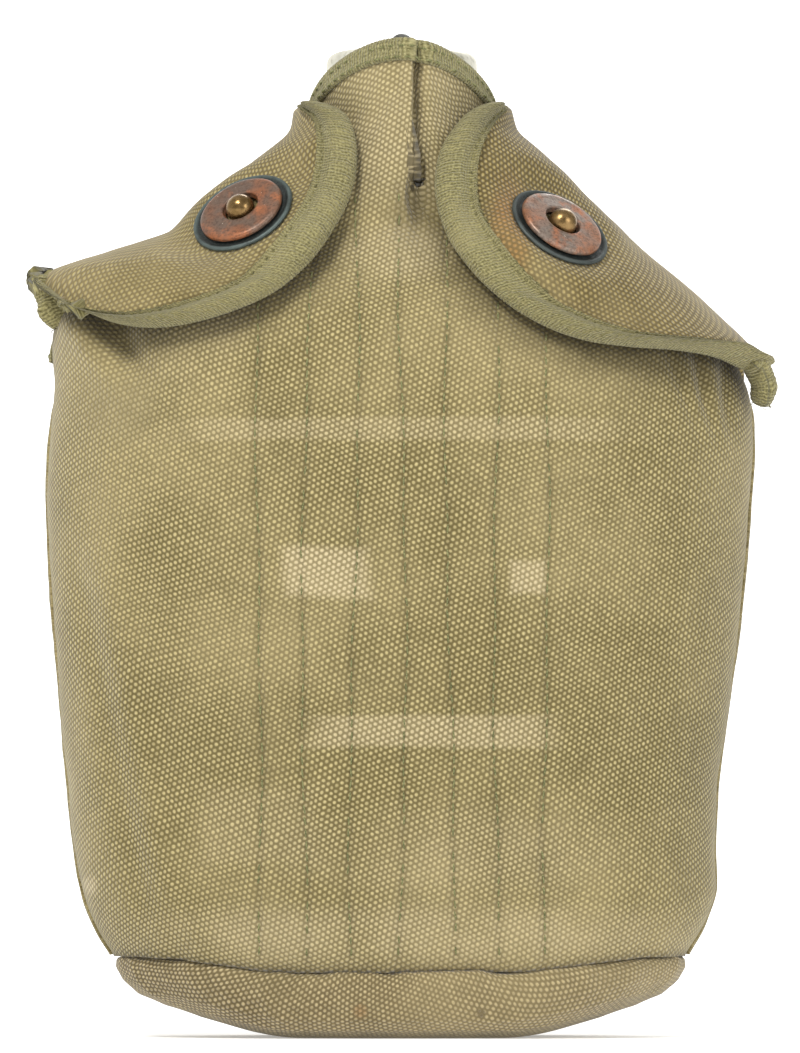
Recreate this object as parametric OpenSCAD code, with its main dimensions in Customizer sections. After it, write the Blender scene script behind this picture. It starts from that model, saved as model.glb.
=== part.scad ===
// Canteen in a padded canvas carrying cover with two snap flaps and a belt hook.
// Front faces -Y, height along +Z, the centre of the resting flat is at the origin.

/* [Cover] */

// Thickness of the canvas
canvas_t = 1.3; // [1:0.1:1.8]
// Thickness of the felt lining
felt_t = 2.2; // [1.5:0.1:3]
// Height of the seam between the walls and the bottom panel
seam_z = 14; // [10:0.5:18]
// Height where the shoulder opening starts above the side seams
corner_z = 147; // [140:1:152]
// Height of the front edge in front of the cap
front_top_z = 216.8; // [212:0.2:219]
// Height of the back edge behind the neck
back_top_z = 194; // [190:1:196]
// Width of the tape along the front edge
front_tape_w = 4.4; // [3:0.2:8]
// Width of the tape around each flap
flap_tape_w = 8; // [6:0.5:10]
// Thickness of one layer of tape
tape_t = 0.85; // [0.6:0.05:1.1]
// Depth of the pleat in front of the neck
pleat_depth = 2.6; // [0:0.1:4]
// Number of stitch rows down the front
stitch_rows = 7; // [5:1:9]
// Distance between stitch rows
stitch_gap = 10.3; // [8:0.1:12]

/* [Flaps] */

// Snap position on the left flap, sideways
snap_left_x = -34.3; // [-38:0.1:-30]
// Snap position on the left flap, height
snap_left_z = 178.6; // [174:0.1:182]
// Snap position on the right flap, sideways
snap_right_x = 34; // [30:0.1:38]
// Snap position on the right flap, height
snap_right_z = 175.2; // [171:0.1:180]
// Radius of the snap's outer flange
flange_r = 11.6; // [10:0.1:13]
// Radius of the snap's raised disc
disc_r = 9.3; // [8:0.1:10.5]
// Radius of the ball on the stud
ball_r = 3.15; // [2.8:0.05:3.3]
// Radius of the hole the ball stands in
socket_hole_r = 4.15; // [3.8:0.05:4.4]

/* [Bottle] */

// Half width of the bottle
bottle_hw = 69.5; // [66:0.5:70.5]
// Depth of the bottle in front of its axis
bottle_df = 35.5; // [33:0.5:36]
// Depth of the bottle behind its axis
bottle_db = 32; // [30:0.5:32.5]
// Wall of the bottle
bottle_wall = 1; // [0.8:0.1:1.4]
// Height of the weld between the two shells
weld_z = 98; // [80:1:120]
// Radius of the drinking bore
mouth_r = 12.5; // [11:0.1:12.6]
// Top of the neck
neck_top_z = 213; // [211:0.5:214]

/* [Cap] */

// Outer radius of the cap
cap_r = 16.6; // [16:0.1:16.8]
// Lower edge of the cap
cap_low_z = 203.2; // [202.8:0.1:206]
// Top face of the cap
cap_top_z = 216.4; // [216:0.1:217]
// Thread pitch
pitch = 4; // [3:0.5:5]
// Number of grip flutes
flutes = 36; // [18:2:48]

/* [Belt hook] */

// Radius of the hook wire
wire_r = 1.75; // [1.5:0.05:2]
// Distance between the two prongs
prong_gap = 57; // [54:0.5:60]
// Height of the hook's crossbar
bar_z = 148; // [140:1:150]
// Length of the straight legs
leg_l = 24; // [18:1:26]
// Radius of the bend over the belt eyelet
bend_r = 6.5; // [5.5:0.5:8]
// Length of the straight tips
tip_l = 14; // [10:1:16]

/* [Hidden] */

$fn = 48;

// The two ends of the bottom hang higher than its middle
boat_lift = 5.5;
// Clearance between pieces of one body, and between bodies that move apart
skin_gap = 0.06;
body_gap = 0.35;
front_cols = 28;
back_cols = 22;
ring_cols = 48;

// How square the outlines are: 2 is an ellipse, more is boxier
front_round = 2.35;
back_round = 3.4;
bottle_front_round = 2.3;
bottle_back_round = 3;

// Half widths and depths of the cover at each height: [height, size]
cover_left = [[14, 63], [20, 66], [28, 69], [34, 70.6], [47, 72.4], [63, 74], [78, 75.2],
  [96, 77], [118, 78], [129, 77.7], [140, 76.4], [147, 75.8], [153, 73.5], [160, 67.5],
  [168, 57], [172, 50], [184, 37], [195, 24.8], [200, 20.6], [204, 19.5], [230, 19.5]];
cover_right = [[14, 62], [22, 65.6], [32, 68.8], [41, 68.4], [56, 69.2], [74, 71.7], [91, 74.2],
  [107, 75.8], [129, 77.4], [138, 77], [143, 75.8], [148, 73.4], [157, 65.2], [168, 52.6],
  [183, 36.8], [195, 24.8], [200, 20.6], [204, 19.5], [230, 19.5]];
cover_front = [[14, 33], [20, 35.5], [30, 38], [45, 39.8], [80, 41], [120, 41], [140, 40.2],
  [150, 38.6], [160, 35], [170, 30.2], [180, 25.6], [190, 22.6], [200, 21.6], [230, 21.4]];
cover_back = [[14, 30], [20, 33], [30, 35.6], [45, 36.7], [80, 37], [150, 37], [158, 35.4],
  [166, 32], [174, 28.4], [184, 24.6], [194, 22.2], [204, 21.6]];

// The same for the outside of the closed flaps
flap_left_w = [[150, 80.6], [165, 80.6], [168, 78.5], [171.6, 66.6], [176, 51.5], [188, 38.4],
  [199, 25], [206, 23.6]];
flap_right_w = [[138, 81.2], [146, 80.4], [152, 76.6], [161.7, 66.6], [172.7, 53.6], [188, 38.6],
  [199, 25.6], [206, 23.6]];
flap_front = [[138, 44.8], [150, 43.2], [160, 39.9], [170, 35.2], [180, 30.4], [190, 27],
  [200, 25.6], [206, 25.4]];
flap_back = [[138, 41], [150, 41], [158, 39.6], [166, 36.2], [174, 32.6], [184, 28.8], [194, 26.4],
  [206, 25.4]];

// The bottle's outline: [height, half width, front depth, back depth]
bottle_low = [[5.4, 38, 17, 16], [6, 47, 21.5, 20], [9, 54, 26, 24], [14, 57.4, 28.2, 25.8],
  [24, 62, 31.6, 29], [40, 64, 34.4, 31.4], [58, 65.2, 35.3, 32], [78, 67.4, 35.5, 32]];
shoulder = [[140, 69.5, 35.5, 32], [147, 67.5, 34.2, 31.4], [154, 60.5, 32, 29.4],
  [162, 50.5, 28.4, 26.4], [172, 39, 23.6, 22.4], [182, 29, 19.2, 18.8], [190, 21, 16.8, 16.6],
  [195, 16.4, 15.2, 15.2], [197, 14.1, 14.1, 14.1]];

// Free edge of each flap seen from the front, from the neck to the corner: [sideways, height]
left_edge = [[-19, 204.4], [-13.4, 200.5], [-11.2, 194], [-11.6, 186], [-14.6, 177.6],
  [-20.4, 168.4], [-29, 161.2], [-40, 156.4], [-52, 154], [-61.5, 154.8], [-69, 157.6],
  [-74.4, 161.2], [-79.2, 165.6]];
right_edge = [[19.6, 204.2], [14.4, 200], [9.8, 193], [8.4, 184.6], [10, 176.4], [14, 168.6],
  [20.6, 161.2], [30, 154.8], [40, 151], [50, 149.7], [60, 149.4], [69.4, 148.4], [77.6, 145.4]];
// Where each flap leaves the back panel, as [angle, height] on the flap's outer shape
left_root = [[160, 203], [171.5, 168.6]];
right_root = [[20, 203], [8, 148.6]];

// Rows of the cover, from the bottom seam up
low_rows = [seam_z, 20, 28, 41, 56, 74, 92, 110, 128, 138, corner_z];
mid_rows = [153, 159, 165, 171, 177, 183, 189];
front_rows = concat(low_rows, mid_rows, [195, 200]);
back_rows = concat(low_rows, mid_rows, [back_top_z]);

// Snap directions, pointing away from the bottle
snap_left_n = [-0.38, -0.65, 0.66];
snap_right_n = [0.45, -0.58, 0.68];
flap_lift = 2.4;
flange_t = 1;
disc_t = 1.5;
ball_h = 2.0;
socket_shift = 0.4;
flange_bore_r = 5;
clinch_r = 7.4;
clinch_bore_r = 5.6;
clinch_t = 0.6;
clinch_gap = 0.15;
post_r = 2.1;
post_tail_r = 1.5;
stud_foot_r = 4.6;
stud_foot_t = 0.8;
washer_t = 0.6;

tab_y = 37.15;
tab_w = 46;
tab_t = 1.4;
tab_low = 108;
bar_y = tab_y + tab_t + body_gap + wire_r;

neck_r = mouth_r + 1.4;
neck_low_z = 193;
thread_low_z = 204.6;
cap_bore_r = cap_r - 1.25;
ceiling_z = cap_top_z - 1.3;
gasket_low_z = neck_top_z + body_gap;

link_l = 6.8;
link_w = 3.4;
link_wire = 0.45;
ear_y = 18.83;
ear_z = 198.6;
eye_y = 3.45;
eye_z = 218.85;

// ---- small functions ----

function unit(v) = v / norm(v);
function mix(a, b, t) = a + (b - a) * t;
function clip(t) = max(0, min(1, t));
function smooth(t) = let (c = clip(t)) c * c * (3 - 2 * c);
function power(v, e) = v <= 0 ? 0 : pow(v, e);
// Point a share t along a list of points
function along(list, t) = let (f = clip(t) * (len(list) - 1), i = min(floor(f), len(list) - 2))
  mix(list[i], list[i + 1], f - i);

// Point of a rounded outline at an angle: 180 is left, 270 is front
function outline(a, z, left, right, front, back, round_front, round_back) =
  let (c = cos(a), s = sin(a), e = 2 / (s < 0 ? round_front : round_back))
  [sign(c) * (c < 0 ? left : right) * power(abs(c), e),
   sign(s) * (s < 0 ? front : back) * power(abs(s), e), z];

// Moves a point onto a plane within r1 of its centre, fading out at r2
function flatten(p, centre, n, r1, r2) =
  let (off = (centre - p) * n, d = norm(p - centre + n * off), w = 1 - smooth((d - r1) / (r2 - r1)))
  p + n * off * w;

// Lifts the two ends of the bottom, which hangs lowest in its middle
function boat(p) = p + [0, 0, boat_lift * smooth((abs(p[0]) - 22) / 34) * (1 - smooth((p[2] - 2) / 30))];

// Outward direction at every point of a grid of points
function normals(g, wrap = false) = let (nr = len(g), nc = len(g[0]))
  [for (j = [0 : nr - 1]) [for (i = [0 : nc - 1])
    let (i0 = wrap ? (i + nc - 1) % nc : max(i - 1, 0), i1 = wrap ? (i + 1) % nc : min(i + 1, nc - 1),
         j0 = max(j - 1, 0), j1 = min(j + 1, nr - 1))
    unit(cross(g[j][i1] - g[j][i0], g[j1][i] - g[j0][i]))]];

// The grid moved outward by d along its own directions
function moved(g, n, d) = [for (j = [0 : len(g) - 1]) [for (i = [0 : len(g[0]) - 1])
  g[j][i] + n[j][i] * d]];
// Part of a grid
function part(g, j0, j1, i0, i1) = [for (j = [j0 : j1]) [for (i = [i0 : i1]) g[j][i]]];

// ---- solids between two matching grids ----

function quad(a, b, c, d) = [[a, c, b], [a, d, c]];
// The same four corners, split across the other diagonal
function cross_quad(a, b, c, d) = [[a, d, b], [b, d, c]];

// Columns from turn on are split across the other diagonal
module thick(outer, inner, wrap = false, turn = 1000) {
  nr = len(outer);
  nc = len(outer[0]);
  m = nr * nc;
  cols = wrap ? nc : nc - 1;
  last = (nr - 1) * nc;
  polyhedron(
    points = concat([for (r = outer) each r], [for (r = inner) each r]),
    faces = concat(
      [for (j = [0 : nr - 2], i = [0 : cols - 1]) let (k = (i + 1) % nc, p = j * nc)
        each i < turn ? quad(p + i, p + k, p + nc + k, p + nc + i)
          : cross_quad(p + i, p + k, p + nc + k, p + nc + i)],
      [for (j = [0 : nr - 2], i = [0 : cols - 1]) let (k = (i + 1) % nc, p = m + j * nc)
        each i < turn ? cross_quad(p + k, p + i, p + nc + i, p + nc + k)
          : quad(p + k, p + i, p + nc + i, p + nc + k)],
      [for (i = [0 : cols - 1]) let (k = (i + 1) % nc) each [[i, k, m + k], [i, m + k, m + i]]],
      [for (i = [0 : cols - 1]) let (k = (i + 1) % nc)
        each [[last + i, m + last + i, m + last + k], [last + i, m + last + k, last + k]]],
      wrap ? [] : [for (j = [0 : nr - 2]) let (p = j * nc, q = p + nc)
        each [[q, p, m + p], [q, m + p, m + q]]],
      wrap ? [] : [for (j = [0 : nr - 2]) let (p = j * nc + nc - 1, q = p + nc)
        each [[p, q, m + q], [p, m + q, m + p]]]));
}

// A cup: rings from the middle of the bottom out and up to the rim
module cup(outer, inner) {
  nr = len(outer);
  nc = len(outer[0]);
  m = nr * nc;
  last = (nr - 1) * nc;
  polyhedron(
    points = concat([for (r = outer) each r], [for (r = inner) each r],
      [[0, 0, outer[0][0][2]], [0, 0, inner[0][0][2]]]),
    faces = concat(
      [for (j = [0 : nr - 2], i = [0 : nc - 1]) let (k = (i + 1) % nc, p = j * nc)
        each quad(p + i, p + k, p + nc + k, p + nc + i)],
      [for (j = [0 : nr - 2], i = [0 : nc - 1]) let (k = (i + 1) % nc, p = m + j * nc)
        each [[p + i, p + k, p + nc + k], [p + i, p + nc + k, p + nc + i]]],
      [for (i = [0 : nc - 1]) let (k = (i + 1) % nc)
        each [[last + i, m + last + i, m + last + k], [last + i, m + last + k, last + k]]],
      [for (i = [0 : nc - 1]) [2 * m, i, (i + 1) % nc]],
      [for (i = [0 : nc - 1]) [2 * m + 1, m + (i + 1) % nc, m + i]]));
}

// A closed or open rope of rings
module rope(rings, closed = false) {
  nr = len(rings);
  nc = len(rings[0]);
  polyhedron(
    points = [for (r = rings) each r],
    faces = concat(
      [for (j = [0 : (closed ? nr - 1 : nr - 2)], i = [0 : nc - 1])
        let (k = (i + 1) % nc, p = j * nc, q = ((j + 1) % nr) * nc)
        each quad(p + i, p + k, q + k, q + i)],
      closed ? [] : [for (i = [1 : nc - 2]) [0, i, i + 1]],
      closed ? [] : [for (i = [1 : nc - 2]) [(nr - 1) * nc, (nr - 1) * nc + i + 1, (nr - 1) * nc + i]]));
}

// A folded tape around an edge. Each entry: [edge point, inner point, edge normal, inner normal]
module edge_tape(list, sheet_t, t) {
  fold = [[0.55, 0.7], [-sheet_t / 2, 1], [-sheet_t - 0.55, 0.7]];
  outer = [for (e = list) let (o = unit(e[0] - e[1])) concat(
    [e[1] + e[3] * t, e[0] + e[2] * t],
    [for (f = fold) e[0] + e[2] * f[0] + o * f[1]],
    [e[0] - e[2] * (sheet_t + t), e[1] - e[3] * (sheet_t + t)])];
  inner = [for (e = list) let (o = unit(e[0] - e[1])) concat(
    [e[1] + e[3] * skin_gap, e[0] + e[2] * skin_gap],
    [e[0] + e[2] * skin_gap + o * 0.1, e[0] - e[2] * sheet_t / 2 + o * 0.12,
     e[0] - e[2] * (sheet_t + skin_gap) + o * 0.1],
    [e[0] - e[2] * (sheet_t + skin_gap), e[1] - e[3] * (sheet_t + skin_gap)])];
  thick(outer, inner, false, 4);
}

// ---- cover surfaces ----

function bend(z) = smooth((z - 148) / 46);
function cover_point(a, z) = outline(a, z, lookup(z, cover_left), lookup(z, cover_right),
  lookup(z, cover_front), lookup(z, cover_back), mix(front_round, 2, bend(z)), mix(back_round, 2, bend(z)));
function flap_point(a, z, widths) = outline(a, z, lookup(z, widths), lookup(z, widths),
  lookup(z, flap_front), lookup(z, flap_back), mix(front_round, 2, bend(z)), mix(back_round, 2, bend(z)));
// Angle on the front of the flap's shape for a sideways position
function flap_angle(x, z, widths) = let (e = mix(front_round, 2, bend(z)) / 2,
  c = pow(clip(abs(x) / lookup(z, widths)), e)) x < 0 ? 180 + acos(c) : 360 - acos(c);

function snap_centre(side) = side < 0
  ? flap_point(flap_angle(snap_left_x, snap_left_z, flap_left_w), snap_left_z, flap_left_w)
  : flap_point(flap_angle(snap_right_x, snap_right_z, flap_right_w), snap_right_z, flap_right_w);
function snap_normal(side) = unit(side < 0 ? snap_left_n : snap_right_n);
function stud_base(side) = snap_centre(side) - snap_normal(side) * (canvas_t + flap_lift);
function with_studs(p) = flatten(flatten(p, stud_base(-1), snap_normal(-1), 7, 17),
  stud_base(1), snap_normal(1), 7, 17);

// Front wall: the pleat stands out on both sides of a sharp valley
function front_angle(i) = 178 + 184 * i / front_cols;
valley_col = front_cols / 2 + 1;
function pleat(i, z) = pleat_depth * smooth((z - 180) / 10)
  * (i == valley_col ? 0.05 : exp(-pow((i - valley_col) / 4.2, 2)));
function front_edge_z(a) = 205.6 + (front_top_z - 205.6) * power(sin(clip((a - 178) / 184) * 180), 1.5);
function front_at(i, z) = boat(with_studs(cover_point(front_angle(i), z) - [0, pleat(i, z), 0]));
front_grid = concat(
  [for (z = front_rows) [for (i = [0 : front_cols]) front_at(i, z)]],
  [for (row = [0 : 2]) [for (i = [0 : front_cols])
    let (top = front_edge_z(front_angle(i)), low = top - front_tape_w,
         z = row == 0 ? mix(200, low, 0.5) : row == 1 ? low : top)
    let (p = front_at(i, min(z, 206))) [p[0], p[1] + 0.06 * (z - 205) * smooth((z - 205) / 8), z]]]);
front_n = normals(front_grid);
// Back wall: narrower above the corners, which leaves room for the tape on the front's edges
function back_from(z) = 2.1 + 2.6 * smooth((z - corner_z + 9) / 9) + 6 * bend(z);
function back_angle(i, z) = mix(back_from(z), 180 - back_from(z), i / back_cols);
back_grid = [for (z = back_rows) [for (i = [0 : back_cols]) boat(cover_point(back_angle(i, z), z))]];
back_n = normals(back_grid);
corner_row = len(low_rows) - 1;
front_last = len(front_grid) - 1;
back_last = len(back_grid) - 1;

// Bottom: rings as [share of the seam outline, height], from the middle out
bottom_rings = [[0.3, 0], [0.55, 0], [0.7, 0.5], [0.82, 1.7], [0.91, 4], [0.965, 7.4], [0.992, 11],
  [0.996, seam_z - 0.2]];
bottom_inner = [[0.3, 0], [0.55, 0], [0.7, 0.4], [0.81, 1.2], [0.885, 3.2], [0.93, 6.4], [0.952, 10.4],
  [0.958, seam_z - 0.2 - canvas_t]];
function seam_ring(scale, z) = [for (i = [0 : ring_cols - 1])
  let (p = cover_point(360 * i / ring_cols, seam_z)) boat([p[0] * scale, p[1] * scale, z])];
bottom_grid = [for (r = bottom_rings) seam_ring(r[0], r[1])];
bottom_n = normals(bottom_grid, true);

// Point on a flap's outer face, a share t from its root to its free edge, both given as [angle, height]
function flap_face(widths, root, edge, t) = let (
    p = mix(root, edge, t),
    out = flap_point(p[0], p[1], widths),
    base = cover_point(p[0], p[1]),
    low = base + unit(out - base) * (canvas_t + 2 * tape_t + body_gap))
  mix(low, out, smooth(t / 0.35));
// Grid of a flap: rows run along the shoulder, columns from the root to the free edge
function flap_grid(side, rows, cols) = let (
    widths = side < 0 ? flap_left_w : flap_right_w,
    edge = side < 0 ? left_edge : right_edge,
    root = side < 0 ? left_root : right_root)
  [for (j = [0 : rows]) let (
      s = side < 0 ? 1 - j / rows : j / rows,
      e = along(edge, s),
      r = along(root, s) + [side < 0 ? 0 : 360, 0],
      ea = [flap_angle(e[0], e[1], widths), e[1]],
      tip = flap_face(widths, r, ea, 1),
      tape_w = min(flap_tape_w, norm(tip - snap_centre(side)) - flange_r - 0.9),
      tape = min(0.45, tape_w * 0.12 / norm(tip - flap_face(widths, r, ea, 0.88))))
    [for (i = [0 : cols])
      flatten(flap_face(widths, r, ea, i == cols ? 1 : (1 - tape) * i / (cols - 1)),
        snap_centre(side), snap_normal(side), flange_r + 1, flange_r + 10)]];
flap_left_grid = flap_grid(-1, 20, 9);
flap_right_grid = flap_grid(1, 20, 9);
flap_left_n = normals(flap_left_grid);
flap_right_n = normals(flap_right_grid);

// ---- placing things on the cover ----

// Turns +Z to the snap's direction
module at_snap(side, h = 0) {
  n = snap_normal(side);
  translate(snap_centre(side) + n * h)
    rotate([0, acos(n[2]), atan2(n[1], n[0])])
      children();
}

bottle_wide = concat(bottle_low, [[weld_z, bottle_hw, bottle_df, bottle_db]], shoulder);
function bottle_size(z, k) = lookup(z, [for (q = bottle_wide) [q[0], q[k]]]);
function bottle_ring(z, d) = [for (i = [0 : ring_cols - 1])
  boat(outline(360 * i / ring_cols, z, bottle_size(z, 1) - d, bottle_size(z, 1) - d,
    bottle_size(z, 2) - d, bottle_size(z, 3) - d, mix(bottle_front_round, 2, bend(z)),
    mix(bottle_back_round, 2, bend(z))))];

// ---- bottle ----

module bottle_lower_shell() {
  rows = concat([for (q = bottle_low) q[0]], [weld_z - 0.05]);
  color([0.72, 0.73, 0.72])
    cup([for (z = rows) bottle_ring(z, 0)],
      [for (z = rows) [for (p = bottle_ring(z, bottle_wall)) p + [0, 0, z > 90 ? 0 : bottle_wall]]]);
}

module bottle_upper_shell() {
  rows = concat([weld_z + 0.05, 120], [for (q = shoulder) q[0]]);
  color([0.72, 0.73, 0.72])
    thick([for (z = rows) bottle_ring(z, 0)], [for (z = rows)
      [for (p = bottle_ring(z, z > 196 ? 0.05 : bottle_wall)) p - [0, 0, z > 196 ? 0.9 : 0]]], true);
}

module bottle_weld() {
  rings = [for (i = [0 : ring_cols - 1]) let (a = 360 * i / ring_cols)
    [for (k = [[0.05, -1.6], [0.7, -0.8], [0.7, 0.8], [0.05, 1.6]])
      outline(a, weld_z + k[1], bottle_hw + k[0], bottle_hw + k[0], bottle_df + k[0], bottle_db + k[0],
        bottle_front_round, bottle_back_round)]];
  color([0.66, 0.67, 0.66])
    rope(rings, true);
}

module neck_sleeve() {
  color([0.74, 0.75, 0.74])
    rotate_extrude()
      polygon([[mouth_r, neck_low_z], [neck_r - 0.1, neck_low_z], [neck_r - 0.1, 198], [neck_r, 198.4],
        [neck_r, neck_top_z - 0.6], [neck_r - 0.5, neck_top_z], [mouth_r + 0.4, neck_top_z],
        [mouth_r, neck_top_z - 0.4]]);
}

// A screw ridge: root radius, crest radius, start height, turns, start angle
module ridge(root, crest, z0, turns, start) {
  steps = round(turns * 32);
  half = pitch * 0.19;
  tip = pitch * 0.1;
  rings = [for (i = [0 : steps]) let (t = turns * i / steps, a = start + 360 * t, z = z0 + pitch * t)
    [for (p = root < crest ? [[root, -half], [crest, -tip], [crest, tip], [root, half]]
        : [[root, half], [crest, tip], [crest, -tip], [root, -half]])
      [cos(a) * p[0], sin(a) * p[0], z + p[1]]]];
  rope([for (i = [0 : len(rings) - 1]) rings[len(rings) - 1 - i]]);
}

module neck_thread() {
  color([0.74, 0.75, 0.74])
    ridge(neck_r + 0.08, neck_r + 0.95, thread_low_z, 1.75, 0);
}

module neck_band() {
  color([0.55, 0.55, 0.52])
    difference() {
      union() {
        rotate_extrude()
          polygon([[neck_r + 0.05, 198.6], [neck_r + 0.95, 198.6], [neck_r + 0.95, 201.6],
            [neck_r + 0.05, 201.6]]);
        translate([-0.35, neck_r + 0.5, 197])
          cube([0.7, ear_y + 1.8 - neck_r - 0.5, 3.6]);
      }
      translate([-5, ear_y, ear_z])
        rotate([0, 90, 0])
          cylinder(r = 0.95, h = 10);
    }
}

// ---- cap ----

module cap_shell() {
  edge = 2.4;
  color([0.75, 0.76, 0.73])
    difference() {
      rotate_extrude()
        union() {
          translate([0, cap_low_z])
            square([cap_r, cap_top_z - cap_low_z - edge]);
          translate([0, cap_low_z + 1])
            square([cap_r - edge, cap_top_z - cap_low_z - 1]);
          translate([cap_r - edge, cap_top_z - edge])
            circle(r = edge);
        }
      translate([0, 0, cap_low_z - 1])
        cylinder(r = cap_bore_r, h = ceiling_z - cap_low_z + 1);
      cylinder(r = 1.55, h = cap_top_z + 5);
      for (i = [0 : flutes - 1])
        rotate([0, 0, 360 * i / flutes])
          translate([cap_r + 0.35, 0, cap_low_z - 1])
            cylinder(r = 0.7, h = 9.5, $fn = 16);
    }
}

module cap_thread() {
  color([0.75, 0.76, 0.73])
    ridge(cap_bore_r - 0.08, cap_bore_r - 0.95, thread_low_z + pitch / 2, 1.5, 0);
}

module cap_gasket() {
  color([0.16, 0.15, 0.13])
    rotate_extrude()
      polygon([[mouth_r - 0.6, gasket_low_z], [cap_bore_r - 0.6, gasket_low_z],
        [cap_bore_r - 0.6, ceiling_z - 0.02], [mouth_r - 0.6, ceiling_z - 0.02]]);
}

module cap_pin() {
  color([0.2, 0.2, 0.2]) {
    rotate_extrude() {
      translate([0, ceiling_z - 1.6])
        square([1.15, cap_top_z - ceiling_z + 3]);
      translate([0, ceiling_z - 1.7])
        square([3.4, 1.3]);
      translate([0, cap_top_z + body_gap])
        square([1.9, 1.6]);
      intersection() {
        translate([0, 218.4])
          circle(r = 2.6);
        translate([0, 218.2])
          square([3, 3]);
      }
    }
    translate([0, eye_y, eye_z])
      rotate([0, 90, 0])
        rotate_extrude()
          translate([1.3, 0])
            circle(r = 0.38, $fn = 24);
  }
}

// ---- chain ----

module link() {
  straight = (link_l - link_w) / 2;
  mid = link_w / 2 - link_wire;
  for (s = [-1, 1]) {
    translate([s * mid, 0, -straight])
      cylinder(r = link_wire, h = 2 * straight, $fn = 16);
    translate([0, 0, s * straight])
      rotate([90, 0, 0])
        rotate([0, 0, s < 0 ? 180 : 0])
          rotate_extrude(angle = 180)
            translate([mid, 0])
              circle(r = link_wire, $fn = 16);
  }
}

// Middle of each link from the ear up and over the cap: [y, z, lean from upright]
chain_path = [[18.83, 201.5, 0], [18.83, 205.41, 0], [18.83, 209.34, 0], [18.83, 212.89, 1],
  [17.36, 216.76, 40.5], [13.81, 218.81, 79.6], [10.17, 218.91, 90], [6.54, 218.91, 90]];

module cap_chain() {
  color([0.3, 0.29, 0.27])
    for (i = [0 : len(chain_path) - 1])
      translate([0, chain_path[i][0], chain_path[i][1]])
        rotate([chain_path[i][2], 0, 0])
          rotate([0, 0, i % 2 == 0 ? 45 : -45])
            link();
}

// ---- cover walls ----

module front_panel() {
  color([0.6, 0.54, 0.37])
    difference() {
      thick(front_grid, moved(front_grid, front_n, -canvas_t));
      for (side = [-1, 1])
        at_snap(side)
          cylinder(r = post_tail_r + 0.2, h = 40, center = true);
    }
}

module back_panel() {
  color([0.58, 0.52, 0.35])
    thick(back_grid, moved(back_grid, back_n, -canvas_t));
}

module bottom_panel() {
  color([0.62, 0.56, 0.42])
    cup(bottom_grid, [for (r = bottom_inner) seam_ring(r[0], r[1] + canvas_t)]);
}

// The felt stops short of the wall's side edges
module lining(grid, n, rows, hole) {
  cols = len(grid[0]) - 1;
  m = part(n, 0, rows, 1, cols - 1);
  g = [for (j = [0 : rows]) concat([mix(grid[j][1], grid[j][2], 0.12)],
    [for (i = [2 : cols - 2]) grid[j][i]], [mix(grid[j][cols - 1], grid[j][cols - 2], 0.12)])];
  color([0.45, 0.43, 0.36])
    difference() {
      thick(moved(g, m, -canvas_t - skin_gap), moved(g, m, -canvas_t - skin_gap - felt_t));
      if (hole)
        for (side = [-1, 1])
          at_snap(side)
            cylinder(r = 5, h = 40, center = true);
    }
}

module front_lining() {
  lining(front_grid, front_n, corner_row + 7, true);
}

module back_lining() {
  lining(back_grid, back_n, corner_row + 7, false);
}

module bottom_lining() {
  rings = [for (i = [0 : len(bottom_inner) - 3]) bottom_inner[i]];
  color([0.45, 0.43, 0.36])
    cup([for (r = rings) seam_ring(r[0] - 0.008, r[1] + canvas_t + skin_gap)],
      [for (r = rings) seam_ring(r[0] * 0.965 - 0.01, r[1] + canvas_t + felt_t - 0.1)]);
}

module front_binding() {
  g = front_grid;
  n = front_n;
  top = front_last;
  c = front_cols;
  path = concat(
    [for (j = [corner_row : top - 1]) [g[j][0], g[j][1], n[j][0], n[j][1]]],
    [[g[top][0], g[top - 1][1], n[top][0], n[top - 1][1]]],
    [for (i = [1 : c - 1]) [g[top][i], g[top - 1][i], n[top][i], n[top - 1][i]]],
    [[g[top][c], g[top - 1][c - 1], n[top][c], n[top - 1][c - 1]]],
    [for (k = [0 : top - 1 - corner_row]) let (j = top - 1 - k)
      [g[j][c], g[j][c - 1], n[j][c], n[j][c - 1]]]);
  color([0.5, 0.5, 0.34])
    edge_tape(path, canvas_t, tape_t);
}

module back_binding() {
  g = back_grid;
  n = back_n;
  color([0.5, 0.5, 0.34])
    edge_tape([for (i = [0 : back_cols]) let (j = back_last)
      [g[j][i], g[j - 1][i], n[j][i], n[j - 1][i]]], canvas_t, tape_t);
}

// A tape laid over the gap between the walls
module side_seam(front_a, front_b, back_a, back_b, flip) {
  g = [for (j = [0 : corner_row]) flip
    ? [back_grid[j][back_a], back_grid[j][back_b], front_grid[j][front_a], front_grid[j][front_b]]
    : [front_grid[j][front_a], front_grid[j][front_b], back_grid[j][back_a], back_grid[j][back_b]]];
  n = [for (j = [0 : corner_row]) flip
    ? [back_n[j][back_a], back_n[j][back_b], front_n[j][front_a], front_n[j][front_b]]
    : [front_n[j][front_a], front_n[j][front_b], back_n[j][back_a], back_n[j][back_b]]];
  color([0.52, 0.48, 0.32])
    thick(moved(g, n, tape_t), moved(g, n, skin_gap));
}

module side_seam_left() {
  side_seam(0, 1, back_cols - 1, back_cols, true);
}

module side_seam_right() {
  side_seam(front_cols - 1, front_cols, 0, 1, false);
}

module quilt_stitching() {
  rows = concat([seam_z + 2], [for (z = low_rows) if (z > seam_z + 2) z]);
  color([0.55, 0.55, 0.36])
    for (i = [0 : stitch_rows - 1]) {
      x = (i - (stitch_rows - 1) / 2) * stitch_gap;
      rings = [for (z = rows) let (
          e = mix(front_round, 2, bend(z)) / 2,
          w = x < 0 ? lookup(z, cover_left) : lookup(z, cover_right),
          y = -lookup(z, cover_front) * power(1 - pow(abs(x) / w, 2 * e), 1 / (2 * e)) - 0.27)
        [boat([x - 0.35, y, z]), boat([x, y - 0.35, z]), boat([x + 0.35, y, z])]];
      rope(rings);
    }
}

// ---- flaps ----

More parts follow.
